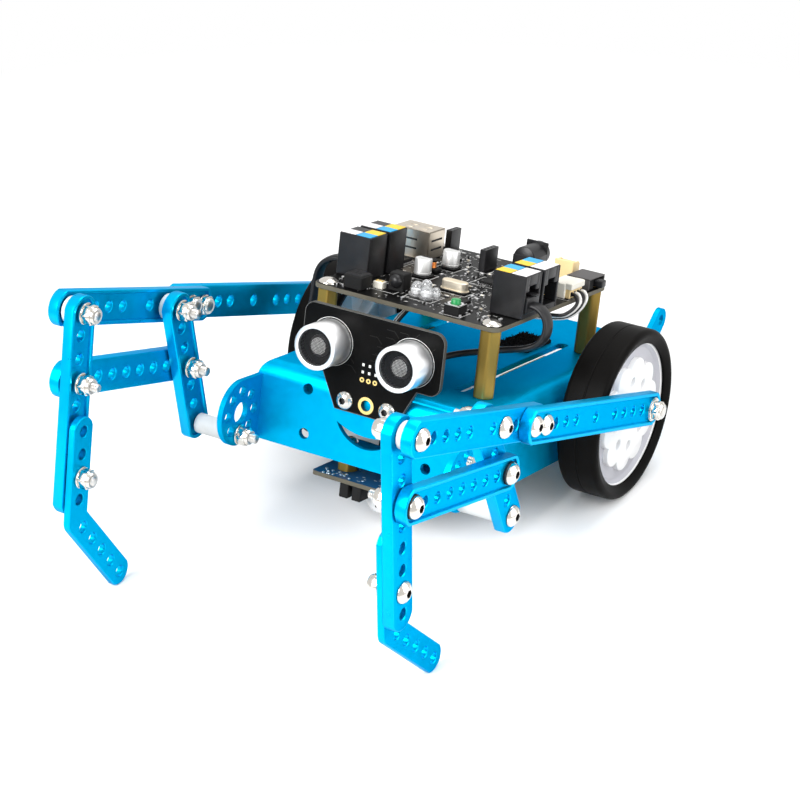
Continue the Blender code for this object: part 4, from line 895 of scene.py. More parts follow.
def wheel(side, label):
    """Hub, tyre and shaft."""
    hub(side, label)
    tyre(side, label)
    axis = across(side, AXLE)
    shape = Shape("white", axis)
    end = WEB_OUT - 1.8
    shape.turned([(SIDE_IN - 6, 2.3), (SIDE_IN - 5.6, 2.7), (end - 0.4, 2.7), (end, 2.4)])
    screw(shape, axis @ Matrix.Translation((0, 0, end)), 2.7, 1.6)
    stand_in(f"{label}_shaft", shape)


def motor(side, label):
    """A gear motor inside the side wall: two-part gearbox, can, end cap, clip and terminals."""
    back, nose = MOTOR_ENDS
    inner, outer = MOTOR_FACE - MOTOR_WIDTH, MOTOR_FACE
    mirror = Matrix.Diagonal((side, 1, 1, 1))
    z = AXLE[1]
    low, high = z - MOTOR_HALF, z + MOTOR_HALF
    seam = inner + 7.5
    shape = Shape("yellow", mirror)
    for near, far in ((inner, seam - 0.1), (seam + 0.1, outer)):
        shape.blocks("yellow", 1.2, (near, far, back, nose, low, high))
    shape.blocks("yellow", 1, (inner + 1, outer - 1, back + 1, nose - 1, z - 9.4, z + 9.4))
    shape.move(mirror @ across(1, AXLE))
    shape.hoop([(3.1, outer - 0.3), (5, outer - 0.3), (5, outer + 3.8), (4.6, outer + 4.2),
                (3.1, outer + 4.2)], 48)
    for y in (back + 3.5, nose - 3.5):
        for height in (-7.5, 7.5):
            screw(shape, mirror @ facing((inner, y, z + height), (0, 1, 0), (-1, 0, 0)), 1.6, 0.9)
    shape.move(mirror @ facing(((inner + outer) / 2, back + 1, z), (0, 0, 1), (0, -1, 0)))
    end = MOTOR_CAN_LENGTH
    r = MOTOR_CAN_RADIUS
    shape.turned(["alloy", (0, r), (end - 5, r), (end - 4.6, r - 0.3), (end - 4.4, r - 0.3)], 48)
    shape.turned(["ivory", (end - 4.4, r - 0.4), (end - 0.5, r - 0.4), (end, r - 0.9), (end, 2.8),
                  (end + 0.8, 2.6), "steel", (end + 0.8, 1)], 48)
    shape.blocks("gold", 0.1, *((x - 0.9, x + 0.9, -0.3, 0.3, end - 0.2, end + 0.9) for x in (-5, 5)))
    shape.use("clear")
    shape.washer(r + 0.1, r + 0.6, 10, 16, 48)
    stand_in(f"{label}_motor", shape)


# Chassis

def cut(target, other, operation):
    change = target.modifiers.new(other.name, "BOOLEAN")
    change.operation = operation
    change.object = other
    change.solver = "MANIFOLD"


def solid(name, shape):
    """A shape as a plain object for a Boolean."""
    bmesh.ops.recalc_face_normals(shape.mesh, faces=shape.mesh.faces)
    mesh = bpy.data.meshes.new(name)
    shape.mesh.to_mesh(mesh)
    shape.mesh.free()
    made = bpy.data.objects.new(name, mesh)
    bpy.context.collection.objects.link(made)
    return made


def folded_block(taken):
    """The folded sheet as a solid block, taken in on every side but the open ones."""
    half, low, high = SIDE_OUT - taken, CHASSIS_BOTTOM - taken, CHASSIS_TOP - taken
    rear = CHASSIS_REAR + taken
    corners = [(-half, CHASSIS_FRONT + taken), (half, CHASSIS_FRONT + taken), (half, rear), (-half, rear)]
    shape = Shape("blue")
    bottom, top = shape.ring(corners, low), shape.ring(corners, high)
    shape.loft([bottom, top])
    folds = [shape.mesh.edges.get((top[i], top[(i + 1) % 4])) for i in (0, 1, 3)]
    offset = BEND_RADIUS - taken
    bmesh.ops.bevel(shape.mesh, geom=folds, offset=offset, segments=12, profile=0.5, affect="EDGES")
    return shape


def tabs_and_side_holes():
    """The ears and the fingers of the side walls, and the holes across both walls, as Boolean tools."""
    upright = Matrix(((0, 0, 1, 0), (1, 0, 0, 0), (0, 1, 0, 0), (0, 0, 0, 1)))
    root = CHASSIS_FRONT + 2 * BEND_RADIUS
    ear = arc(EAR_CENTRE, EAR_RADIUS, math.pi / 2, 1.5 * math.pi, 32)
    ear += [(root, EAR_CENTRE[1] - EAR_RADIUS), (root, EAR_CENTRE[1] + EAR_RADIUS - 0.2)]
    lean = Vector(FINGER_TIP) - Vector(FINGER_BASE)
    turn = Matrix.Rotation(math.atan2(lean.y, lean.x), 2)
    finger = bar_outline(lean.length, FINGER_WIDTH, FINGER_WIDTH / 2)
    finger = [tuple(Vector(FINGER_BASE) + turn @ Vector(p)) for p in finger]
    spots = [(AXLE, SHAFT_HOLE), (EAR_CENTRE, EAR_CENTRE_HOLE), (FINGER_TIP, HOLE_RADIUS)]
    spots += [(spot, HOLE_RADIUS) for spot in circle(EAR_CENTRE, EAR_PCD_RADIUS, 8)]
    tools = []
    holes = Shape("blue", upright)
    for side, label in SIDES:
        low, high = sorted((side * SIDE_IN, side * SIDE_OUT))
        for name, outline in (("ear", ear), ("finger", finger)):
            tab = Shape("blue", upright)
            tab.slab(outline, low, high)
            tools.append((solid(f"{label}_{name}", tab), "UNION"))
        for spot, radius in spots:
            holes.slab(circle(spot, radius, 32), low - SHEET, high + SHEET)
    flange = Shape("blue")
    front, back = CHASSIS_FRONT + 1, CHASSIS_FRONT + FLANGE_DEPTH
    outline = [(-FLANGE_HALF, front), (FLANGE_HALF, front), (FLANGE_HALF, back), (-FLANGE_HALF, back)]
    flange.slab(outline, CHASSIS_BOTTOM, CHASSIS_BOTTOM + SHEET)
    return [*tools, (solid("flange", flange), "UNION"), (solid("side_holes", holes), "DIFFERENCE")]


def front_and_top_holes():
    """Tools for the front's holes and crescent, the top's holes and slots and the flange's holes."""
    front = Shape("blue", FORWARD)
    near, far = -CHASSIS_FRONT - 2 * SHEET, -CHASSIS_FRONT + SHEET
    for spot in (*FRONT_HOLES, SENSOR_HOLE, (-SENSOR_HOLE[0], SENSOR_HOLE[1])):
        front.slab(circle(spot, HOLE_RADIUS, 32), near, far)
    curves = []
    for sag in CRESCENT_SAGS:
        radius = (CRESCENT_HALF**2 + sag**2) / (2 * sag)
        spread = math.asin(CRESCENT_HALF / radius)
        centre = (0, CRESCENT_Z - sag + radius)
        curves.append(arc(centre, radius, -math.pi / 2 - spread, -math.pi / 2 + spread, 32))
    front.slab(curves[0] + curves[1][-2:0:-1], near, far)

    top = Shape("blue")
    low, high = CHASSIS_TOP - 2 * SHEET, CHASSIS_TOP + SHEET
    start, end = SLOT_ENDS
    for side in (1, -1):
        slot = bar_outline(end - start, SLOT_WIDTH, SLOT_WIDTH / 2)
        top.slab([(side * SLOT_X - v, start + u) for u, v in slot], low, high)
        for y in STANDOFF_YS:
            top.slab(circle((side * STANDOFF_X, y), HOLE_RADIUS, 32), low, high)
        hole = circle((side * LINE_POST[0], LINE_POST[1]), HOLE_RADIUS, 32)
        top.slab(hole, CHASSIS_BOTTOM - SHEET, CHASSIS_BOTTOM + 2 * SHEET)
    return [(solid("front_holes", front), "DIFFERENCE"), (solid("top_slots", top), "DIFFERENCE")]


def chassis():
    """The folded sheet with its ears, fingers, flange, holes and slots."""
    body = solid("folded_sheet", folded_block(0))
    tools = [(solid("hollow", folded_block(SHEET)), "DIFFERENCE")]
    tools += tabs_and_side_holes()
    tools += front_and_top_holes()
    for other, operation in tools:
        cut(body, other, operation)
    graph = bpy.context.evaluated_depsgraph_get()
    shape = Shape("blue")
    shape.mesh.from_mesh(body.evaluated_get(graph).to_mesh())
    for old in (body, *(other for other, operation in tools)):
        bpy.data.objects.remove(old)
    made = stand_in("chassis", shape, 30)
    soften = made.modifiers.new("edges", "BEVEL")
    soften.width = MM * SHEET_EDGE
    soften.segments = 2
    soften.limit_method = "ANGLE"
    soften.angle_limit = math.radians(60)
    soften.use_clamp_overlap = True


def hook_patch():
    """A patch of hook tape behind the board, with leaning hooks."""
    shape = Shape("hook")
    outline = rounded_box(12.5, 20.5, 1, (12.7, 103.5))
    shape.plate(outline, [(0, CHASSIS_TOP), (0, CHASSIS_TOP + 0.9), (0.3, CHASSIS_TOP + 1.2)])
    rng = random.Random(5)
    for i in range(16):
        for j in range(26):
            x = 6.6 + 12.1 * (i + rng.random() * 0.7) / 16
            y = 93.4 + 20 * (j + rng.random() * 0.7) / 26
            tall = 1.4 + 0.8 * rng.random()
            lean = 0.6 * (rng.random() - 0.5)
            ends = (Vector((x, y, CHASSIS_TOP + 1)), Vector((x + lean, y + lean, CHASSIS_TOP + tall)))
            shape.sweep(ends, ((-0.2, -0.1), (0.2, -0.1), (0, 0.2)))
    make("hook_patch", shape, "chassis")


# Main board

def traces(shape, rng):
    """Bent traces on both faces of the board, with vias at their ends."""
    low, high = BOARD_TOP - BOARD_THICK, BOARD_TOP
    ways = [Vector(way) for way in circle((0, 0), 1, 8)]
    shape.use("trace")
    vias = []
    for _ in range(TRACES):
        here = Vector((rng.uniform(-34, 34), rng.uniform(32, 113)))
        heading = rng.randrange(8)
        run = [here]
        for _ in range(rng.randint(2, 5)):
            step = here + ways[heading % 8] * rng.uniform(1.5, 8)
            if abs(step.x) > 35 or not 30.5 < step.y < 114.5:
                break
            here = step
            run.append(here)
            heading += rng.choice((-1, 1))
        if len(run) > 1:
            level = rng.choice((high, low - 0.02))
            shape.strip(run, rng.choice((0.25, 0.25, 0.5)), level, 0.02)
            vias += [run[0], run[-1]]
    for spot in vias[::2]:
        for height in (low - 0.03, high):
            shape.move(Matrix.Translation((*spot, height)))
            shape.turned(["solder", (0, 0.32), (0.03, 0.32)], 8)
    shape.move()


def board():
    """The main board: laminate with a black mask, ringed holes, traces, vias and generic print."""
    low, high = BOARD_TOP - BOARD_THICK, BOARD_TOP
    middle = (0, (BOARD_FRONT + BOARD_REAR) / 2)
    outline = rounded_box(2 * BOARD_HALF, BOARD_REAR - BOARD_FRONT, 4, middle, 8)
    spots = [(x, y) for x in (STANDOFF_X, -STANDOFF_X) for y in STANDOFF_YS]
    shape = Shape("board")
    skin = [(0.1, low), (0, low + 0.1), (0, high - 0.1), (0.1, high)]
    shape.plate(outline, skin, [(spot, HOLE_RADIUS) for spot in spots], [(0, low), (0, high)], "laminate")
    shape.use("gold")
    for spot in spots:
        for height in (low - 0.03, high):
            shape.move(Matrix.Translation((*spot, height)))
            shape.washer(2, 3.4, 0, 0.03)
    shape.move()
    rng = random.Random(11)
    traces(shape, rng)
    shape.use("silk")
    for _ in range(PRINT_MARKS):
        x, y = rng.uniform(-35, 35), rng.uniform(31, 114)
        wide = rng.random() < 0.7
        size = (rng.uniform(0.6, 1.8), 0.2)
        dx, dy = size if wide else size[::-1]
        shape.strip([(x - dx / 2, y), (x + dx / 2, y)], dy, high, 0.03)
    for x, y, w, d in PRINTED_FRAMES:
        corners = [(x, y), (x + w, y), (x + w, y + d), (x, y + d)]
        for i, corner in enumerate(corners):
            shape.strip((corners[i - 1], corner), 0.2, high, 0.03)
    stand_in("main_board", shape)


def pillar(shape, low, high):
    """A hexagonal pillar with eased ends."""
    shape.turned([(low, 3.4), (low + 0.3, 3.5, "nut"), (high - 0.3, 3.5, "nut"), (high, 3.4)], 48)


def standoffs():
    """The brass pillars under the board, with screws above and below. The switch covers one place."""
    for y, row in zip(STANDOFF_YS, ("front", "rear")):
        for side, label in SIDES:
            x = side * STANDOFF_X
            shape = Shape("brass", Matrix.Translation((x, y, 0)))
            pillar(shape, CHASSIS_TOP + SEAT, BOARD_TOP - BOARD_THICK - SEAT)
            stand_in(f"{row}_{label}_standoff", shape, 20)
            shape = Shape("steel")
            if (row, label) != ("rear", "right"):
                screw(shape, on_board(x, y), 3.6, 1.7, None)
            screw(shape, facing((x, y, CHASSIS_TOP - SHEET), (0, 1, 0), (0, 0, -1)))
            make(f"{row}_{label}_screws", shape, "chassis")


def on_board(x=0, y=0):
    """A place on the board's top face."""
    return Matrix.Translation((x, y, BOARD_TOP))


def chip(shape, x, y, width, depth, height, pins, all_round=False):
    """A black package with gull-wing pins along two sides, or all four of a square one."""
    shape.move(on_board(x, y))
    shape.blocks("matte", 0.2, (-width / 2, width / 2, -depth / 2, depth / 2, 0.2, height))
    for quarter in range(0, 4, 1 if all_round else 2):
        shape.move(on_board(x, y) @ Matrix.Rotation(quarter * math.pi / 2, 4, "Z"))
        for i in range(pins):
            along = (i - (pins - 1) / 2) * depth / pins
            limits = (width / 2 - 0.3, width / 2 + 0.9, along - 0.15, along + 0.15, 0, 0.4)
            shape.blocks("solder", 0.08, limits)
    shape.move(on_board(x - width * 0.36, y - depth * 0.36))
    shape.turned(["grey", (height, 0.4), (height + 0.04, 0.4)], 16)


def small_part(shape, x, y, material, turned_round):
    """A tiny two-ended part: a body between two soldered ends."""
    shape.move(on_board(x, y) @ Matrix.Rotation(math.pi / 2 if turned_round else 0, 4, "Z"))
    shape.blocks(material, 0.06, (-0.5, 0.5, -0.4, 0.4, 0.05, 0.5))
    shape.blocks("solder", 0.08, (0.5, 0.9, -0.45, 0.45, 0, 0.53), (-0.9, -0.5, -0.45, 0.45, 0, 0.53))


def soldered_parts():
    """Chips, scattered small parts, and the solder joints on the board's underside."""
    shape = Shape("matte")
    chip(shape, 7.2, 80.7, 7, 7, 1.2, 8, True)
    chip(shape, -30, 79.3, 3.9, 8.8, 1.5, 8)
    chip(shape, 15, 95, 5.3, 6.5, 1.6, 4)
    chip(shape, 13.5, 47.5, 3.9, 4.9, 1.4, 4)
    rng = random.Random(23)
    taken = [(x - 1, y - 1, x + w + 1, y + d + 1) for x, y, w, d in PRINTED_FRAMES]
    taken += BOARD_KEPT_CLEAR
    placed = 0
    while placed < SMALL_PARTS:
        x, y = rng.uniform(-34.5, 34.5), rng.uniform(31.5, 113)
        if any(a < x < c and b < y < d for a, b, c, d in taken):
            continue
        material = rng.choice(("matte", "matte", "ivory", "champagne", "can"))
        small_part(shape, x, y, material, rng.random() < 0.5)
        taken.append((x - 1.4, y - 1.4, x + 1.4, y + 1.4))
        placed += 1
    under = BOARD_TOP - BOARD_THICK
    for x in range(-15, 16):
        for y in (30.3, 114.8):
            if abs(x) % 3 and (y < 100 or not 1 < x < 7):
                shape.move(Matrix.Translation((x * PIN_PITCH * 0.78, y, under - 0.6)))
                shape.turned(["solder", (0, 0.2), (0.3, 0.4), (0.6, 0.7)], 10)
    for side in (1, -1):
        for row in SOCKET_ROWS:
            for i in range(6):
                spot = (side * (26.5 + 2.2 * (i % 2)), row + (i - 2.5) * PIN_PITCH / 2, under - 0.9)
                shape.move(Matrix.Translation(spot))
                shape.turned([(0, 0.25), (0.5, 0.4), (0.9, 0.8)], 10)
    make("board_parts", shape, "chassis")


def cans_and_coil():
    """The capacitors, the coil and the crystal."""
    shape = Shape("can")
    for x, y in ((-15.1, 68.5), (-13.9, 87.4)):
        shape.move(on_board(x, y))
        shape.blocks("matte", 0.6, (-3.4, 3.4, -3.4, 3.4, 0, 0.9))
        shape.turned(["can", (0.9, 3), (1.3, 3.2), (1.7, 3.2), (1.8, 3.1), (2, 3.1), (2.1, 3.2), (6.4, 3.2),
                      (6.8, 3), (6.9, 2.6), (6.85, 2.2)], 48)
        shape.use("matte")
        shape.slab(arc((0, 0), 2.7, 0.6, 2.5, 10), 6.88, 6.94)
    make("capacitors", shape, "chassis")

    shape = Shape("matte", on_board(-16.25, 78))
    shape.blocks("matte", 0.4, (-2.75, 2.75, -2.5, 2.5, 0, 1.4))
    shape.turned([(1.2, 1), (3.8, 1), (4, 1.9), (4.4, 1.9)], 24)
    shape.use("copper")
    for i in range(5):
        shape.hoop([(r, 1.6 + i * 0.45 + z) for r, z in circle((1.2, 0), 0.22, 8)], 32)
    make("coil", shape, "chassis")

    shape = Shape("matte", on_board(0.2, 59.9))
    shape.blocks("matte", 0.3, (-2.4, 8.6, -2.9, 2.9, 0, 0.7))
    shape.use("champagne")
    skin = [(-0.4, 0.7), (-0.4, 1), (0, 1.1), (0, 3.7), (0.3, 4)]
    shape.plate(bar_outline(6.2, 4.2, 1.9), skin)
    make("crystal", shape, "chassis")


def cases_and_lamps():
    """The receiver, the buzzer, the small connector and the clear lamps."""
    shape = Shape("matte", on_board(-11, 42))
    shape.blocks("matte", 0.4, (-3, 3, 0, 5.5, 0, 6.6))
    shape.blocks("grey", 0.3, (-2.6, 2.6, 5.5, 6.5, 0, 5.8))
    shape.move(facing((-11, 42, BOARD_TOP + 3.8), (1, 0, 0), (0, -1, 0)))
    shape.turned(["black", (-0.2, 2.5), (0.6, 2.4), (1.2, 2.1), (1.7, 1.5), (2, 0.7)], 32)
    make("receiver", shape, "chassis")

    shape = Shape("matte", on_board(-22.5, 35))
    shape.blocks("matte", 0.6, (-3.8, 3.8, -3.8, 3.8, 0, 5.2))
    shape.blocks("black", 0.5, (-3.3, 3.3, -3.3, 3.3, 5, 5.6))
    shape.washer(0.8, 1.3, 5.5, 5.7, 24)
    make("buzzer", shape, "chassis")

    shape = Shape("ivory", on_board(-17, 41.15))
    shape.blocks("ivory", 0.3, (-2, 2, -1.65, 1.65, 0, 2.6))
    shape.blocks("gold", 0.1, *((x - 0.2, x + 0.2, -0.95, 0.95, 2, 2.9) for x in (-1.1, 0, 1.1)))
    make("small_connector", shape, "chassis")

    shape = Shape("clear")
    for x, y, r, tall in BOARD_LAMPS:
        shape.move(on_board(x, y))
        dome = [(tall - r + z, out) for out, z in arc((0, 0), r, 0, math.pi / 2, 8)[:-1]]
        shape.turned(["frost", (0, r * 1.12), (0.6, r * 1.12), (0.7, r), *dome], 32)
        shape.turned(["white", (0.8, r * 0.55), (tall * 0.45, r * 0.62), (tall * 0.5, r * 0.35)], 16)
        shape.move(on_board(x + r * 0.3, y))
        shape.turned(["solder", (0.8, 0.3), (tall * 0.62, 0.2)], 8)
    make("lamps", shape, "chassis")


def headers_and_connectors():
    """The pin headers, and the battery's and the motors' connectors."""
    shape = Shape("black")
    for x, y, pins in ((-26.5, 111.2, 3), (-3.4, 97, 4)):
        half = pins * PIN_PITCH / 2
        shape.move(on_board(x, y))
        shape.blocks("black", 0.2, (-1.25, 1.25, -half, half, 0, 8.5))
        for i in range(pins):
            along = (i + 0.5) * PIN_PITCH - half
            shape.blocks("matte", 0.1, (-0.5, 0.5, along - 0.5, along + 0.5, 8.3, 8.53))
    make("headers", shape, "chassis")

    shape = Shape("cream", on_board(21.2, 113.2))
    shape.blocks(
        "cream", 0.3, (-3.9, 3.9, -2.9, -2, 0, 7), (-3.9, 3.9, 2, 2.9, 0, 6),
        (-3.9, -3.1, -2.2, 2.2, 0, 6.6), (3.1, 3.9, -2.2, 2.2, 0, 6.6), (-3.5, 3.5, -2.2, 2.2, 0, 2.2),
    )
    shape.blocks("gold", 0.1, *((x - 0.3, x + 0.3, -0.3, 0.3, 2, 5.6) for x in (-1.25, 1.25)))
    make("battery_connector", shape, "chassis")

    shape = Shape("ivory", on_board())
    shape.blocks("ivory", 0.4, (29.2, 35.2, 83.8, 95.2, 0, 5.8), (34, 37.8, 84.2, 94.8, 3.6, 6))
    shape.blocks("cream", 0.4, (34, 37.1, 84.6, 94.4, 0.2, 3.6))
    shape.blocks("matte", 0.1, *((36.8, 37.2, y - 0.8, y + 0.8, 0.9, 2.7) for y in MOTOR_WIRE_ROWS))
    make("motor_connector", shape, "chassis")


def lead_socket(shape, matrix, labels):
    """A square lead socket standing on local Z = 0, its mouth towards +X, with colour blocks on its top."""
    shape.move(matrix)
    half, depth, high, notch = SOCKET_HALF, SOCKET_DEPTH, SOCKET_HEIGHT, MOUTH_HALF / 2
    inner = half - 0.2
    roof = -MOUTH_DEPTH - 1
    shape.blocks(
        "black", 0.4, (-depth, 0, MOUTH_HALF, half, 0, high), (-depth, 0, -half, -MOUTH_HALF, 0, high),
        (roof, -0.1, -inner, -notch, MOUTH_HIGH, high), (roof, -0.1, notch, inner, MOUTH_HIGH, high),
        (roof, -0.1, -notch - 1, notch + 1, MOUTH_HIGH + 2, high),
    )
    shape.blocks("black", 0.3, (-depth, -MOUTH_DEPTH, -inner, inner, 0, high - 0.1))
    shape.blocks("black", 0.2, (-depth + 0.2, -0.1, -inner, inner, 0, MOUTH_LOW))
    shape.use("gold")
    for y in LEAD_CONTACTS:
        start, tip = Vector((-MOUTH_DEPTH, y, MOUTH_LOW + 0.6)), Vector((-3.5, y, MOUTH_LOW + 2.2))
        shape.sweep([start, start.lerp(tip, 0.5), tip], circle((0, 0), 0.16, 6))
    for material, *limits in labels:
        shape.blocks(material, 0.1, (*limits, high - 0.1, high + 0.12))


def board_sockets():
    """The lead sockets along the board's sides, with their colour labels."""
    half, gap = SOCKET_HALF - 0.5, 0.2
    far, near, middle = 0.5 - SOCKET_DEPTH, -0.5, -SOCKET_DEPTH / 2
    back = (far, middle - gap)
    labels = (("label_yellow", *back, -half, -gap), ("label_blue", *back, gap, half))
    for side, label in SIDES:
        white = ("label_white", middle + gap, near, -half if side > 0 else gap, half)
        for y, row in zip(SOCKET_ROWS, ("front", "rear")):
            shape = Shape("black")
            place = facing((side * SOCKET_EDGE, y, BOARD_TOP + SEAT), (side, 0, 0), (0, 0, 1))
            lead_socket(shape, place, (*labels, white))
            stand_in(f"{label}_{row}_socket", shape)


def data_socket():
    """A folded metal shell, open at the board's edge, round a tongue with contacts."""
    shape = Shape("shell", on_board() @ Matrix.Translation((0, 0, SEAT)))
    edge, deep, y0, y1, high, wall = -40, -24.5, 88.5, 100.5, 10.8, 0.5
    shape.blocks(
        "shell", 0.2, (edge, deep, y0, y0 + wall, 0.3, high), (edge, deep, y1 - wall, y1, 0.3, high),
        (edge, deep, y0, y1, high - wall, high), (edge, deep, y0, y1, 0, wall),
        (deep - wall, deep, y0, y1, 0, high),
    )
    # Near-black strips on the shell's back and side stand for its slots: painted shade
    for low in (3.4, 6.8):
        shape.blocks("socket_dark", 0.05, (deep - 0.1, deep + 0.08, y0 + 2, y1 - 2, low, low + 0.8),
                     (edge + 4.4, edge + 10.4, y0 - 0.08, y0 + 0.1, low, low + 0.7))
    for x in (edge + 3, edge + 9):
        for y in (y0 + 2.8, y0 + 7):
            shape.blocks("shell", 0.1, (x, x + 3.4, y, y + 1.8, high - 0.1, high + 0.12))
    shape.blocks("matte", 0.2, (edge + 8, deep - wall, y0 + wall, y1 - wall, wall, high - wall))
    shape.blocks("ivory", 0.3, (edge + 1.5, edge + 8.5, y0 + 3.2, y1 - 3.2, 3.6, 6.8))
    for y in (y0 + 4.8, y0 + 7.2):
        for low in (3.55, 6.75):
            shape.blocks("gold", 0.04, (edge + 2, edge + 8, y - 0.5, y + 0.5, low, low + 0.1))
    stand_in("data_socket", shape)


def power_jack():
    """A moulded jack with a round body, and a barrel with a pin at the board's rear edge."""
    place = on_board(7.5, BOARD_REAR + 1) @ Matrix.Translation((0, 0, SEAT))
    shape = Shape("black", place)
    shape.blocks("black", 0.3, (-4.5, 4.5, -13.5, -3, 0, 6.5), (-4.5, 4.5, -3.4, -2.4, 0, 10.5))
    shape.move(place @ facing((0, -2.8, 5.8), (1, 0, 0), (0, 1, 0)))
    shape.hoop([(2.9, 0), (4.4, 0), (4.4, 2.4), (4.1, 2.8), (3.1, 2.8), (2.9, 2.5)], 48)
    shape.turned(["matte", (-0.2, 2.9), (0.2, 2.9)], 32)
    shape.turned(["steel", (0, 1), (2.2, 1), (2.6, 0.6)], 24)
    shape.move(place @ facing((0, -13.5, 5.5), (1, 0, 0), (0, 1, 0)))
    shape.turned(["black", (0.3, 4), (0.6, 4.4), (10.4, 4.4)], 48)
    stand_in("power_jack", shape)


def slide_switch():
    """The switch's folded metal cover over a black base, and its lever."""
    place = on_board(36.5, 108) @ Matrix.Translation((0, 0, SEAT))
    high = 4.2
    base = high - 0.4
    shape = Shape("matte", place)
    shape.blocks("matte", 0.2, (-9.3, -3.5, -6.3, 6.3, 0, base), (-3.6, -0.2, -6, -2.2, 0, base),
                 (-3.6, -0.2, 5.2, 6, 0, base))
    shape.blocks("grey", 0.2, (-9.5, 0, -6.5, 6.5, high - 0.5, high), (-9.5, 0, 6, 6.5, 0, high),
                 (-9.5, 0, -6.5, -6, 0, high))
    shape.blocks("solder", 0.1, *((-10.4, -9.3, y - 0.4, y + 0.4, 0, 0.8) for y in (-4, 4)))
    stand_in("switch_body", shape)
    shape = Shape("black", place @ Matrix.Translation((0, 0, high / 2)))
    shape.blocks("black", 0.4, (-3, 3, -1.75, 1.75, -1.3, 1.3))
    shape.blocks("black", 0.1, *((x, x + 0.3, -1.6, 1.6, 1.1, 1.42) for x in (1, 1.7, 2.4)))
    stand_in("switch_lever", shape)


def push_button():
    """The button's square case with its metal cover and pegs, and its cap."""
    place = on_board(17.5, 34.5) @ Matrix.Translation((0, 0, SEAT))
    high = 3.6
    low, top = high - 0.5, high - 0.1
    bore = [((0, 0), 2.1)]
    shape = Shape("matte", place)
    case = [(0, 0), (0, low), (0.1, low + 0.1)]
    shape.plate(rounded_box(6, 6, 0.3, (0, 0), 3), case, bore, [(0, 0), (0, low + 0.1)])
    shape.use("alloy")
    cover = [(0, low), (0, top)]
    shape.plate(rounded_box(5.8, 5.8, 0.3, (0, 0), 3), cover, bore, cover)
    for x in (1, -1):
        for y in (1, -1):
            shape.move(place @ Matrix.Translation((x * 3.2, y * 2.2, 0)))
            shape.blocks("solder", 0.1, (-0.6, 0.6, -0.4, 0.4, -0.1, 0.6))
            shape.move(place @ Matrix.Translation((x * 2.3, y * 2.3, top)))
            shape.turned(["matte", (-0.1, 0.45), (0.1, 0.45), (0.2, 0.3)], 12)
    stand_in("button_body", shape)
    shape = Shape("green", place @ Matrix.Translation((0, 0, high)))
    shape.turned([(-0.3, 1.7), (1.2, 1.7), (1.5, 1.5), (1.6, 1.1)], 36)
    stand_in("button_cap", shape)


# Sensors

def woven_disc(shape, radius, pitch, height, gauge):
    """A disc of woven wire in the local XY plane."""
    count = int(radius / pitch)
    section = [(gauge, 0), (0, gauge), (-gauge, 0), (0, -gauge)]
    for line in range(-count, count + 1):
        off = line * pitch
        half = math.sqrt(max(radius**2 - off**2, 0))
        steps = int(half / pitch)
        if steps < 1:
            continue
        for across in (False, True):
            points = []
            for k in range(-steps, steps + 1):
                over = gauge if (k + line + across) % 2 else -gauge
                spot = (off, k * pitch) if across else (k * pitch, off)
                points.append(Vector((*spot, height + over)))
            shape.sweep(points, section)


def sensor_outline():
    """A wide board with round corners over a narrower foot."""
    half, c = SENSOR_HALF, SENSOR_CORNER
    foot_top = SENSOR_FOOT_HALF + SENSOR_FOOT_SPREAD
    outline = arc((half - c, SENSOR_TOP - c), c, 0, math.pi / 2, 8)
    outline += arc((c - half, SENSOR_TOP - c), c, math.pi / 2, math.pi, 8)
    outline += arc((c - half, SENSOR_SHOULDER + c), c, math.pi, 1.5 * math.pi, 8)
    outline += [(-foot_top, SENSOR_SHOULDER), (-SENSOR_FOOT_HALF, SENSOR_BOTTOM)]
    outline += [(SENSOR_FOOT_HALF, SENSOR_BOTTOM), (foot_top, SENSOR_SHOULDER)]
    return outline + arc((half - c, SENSOR_SHOULDER + c), c, -math.pi / 2, 0, 8)


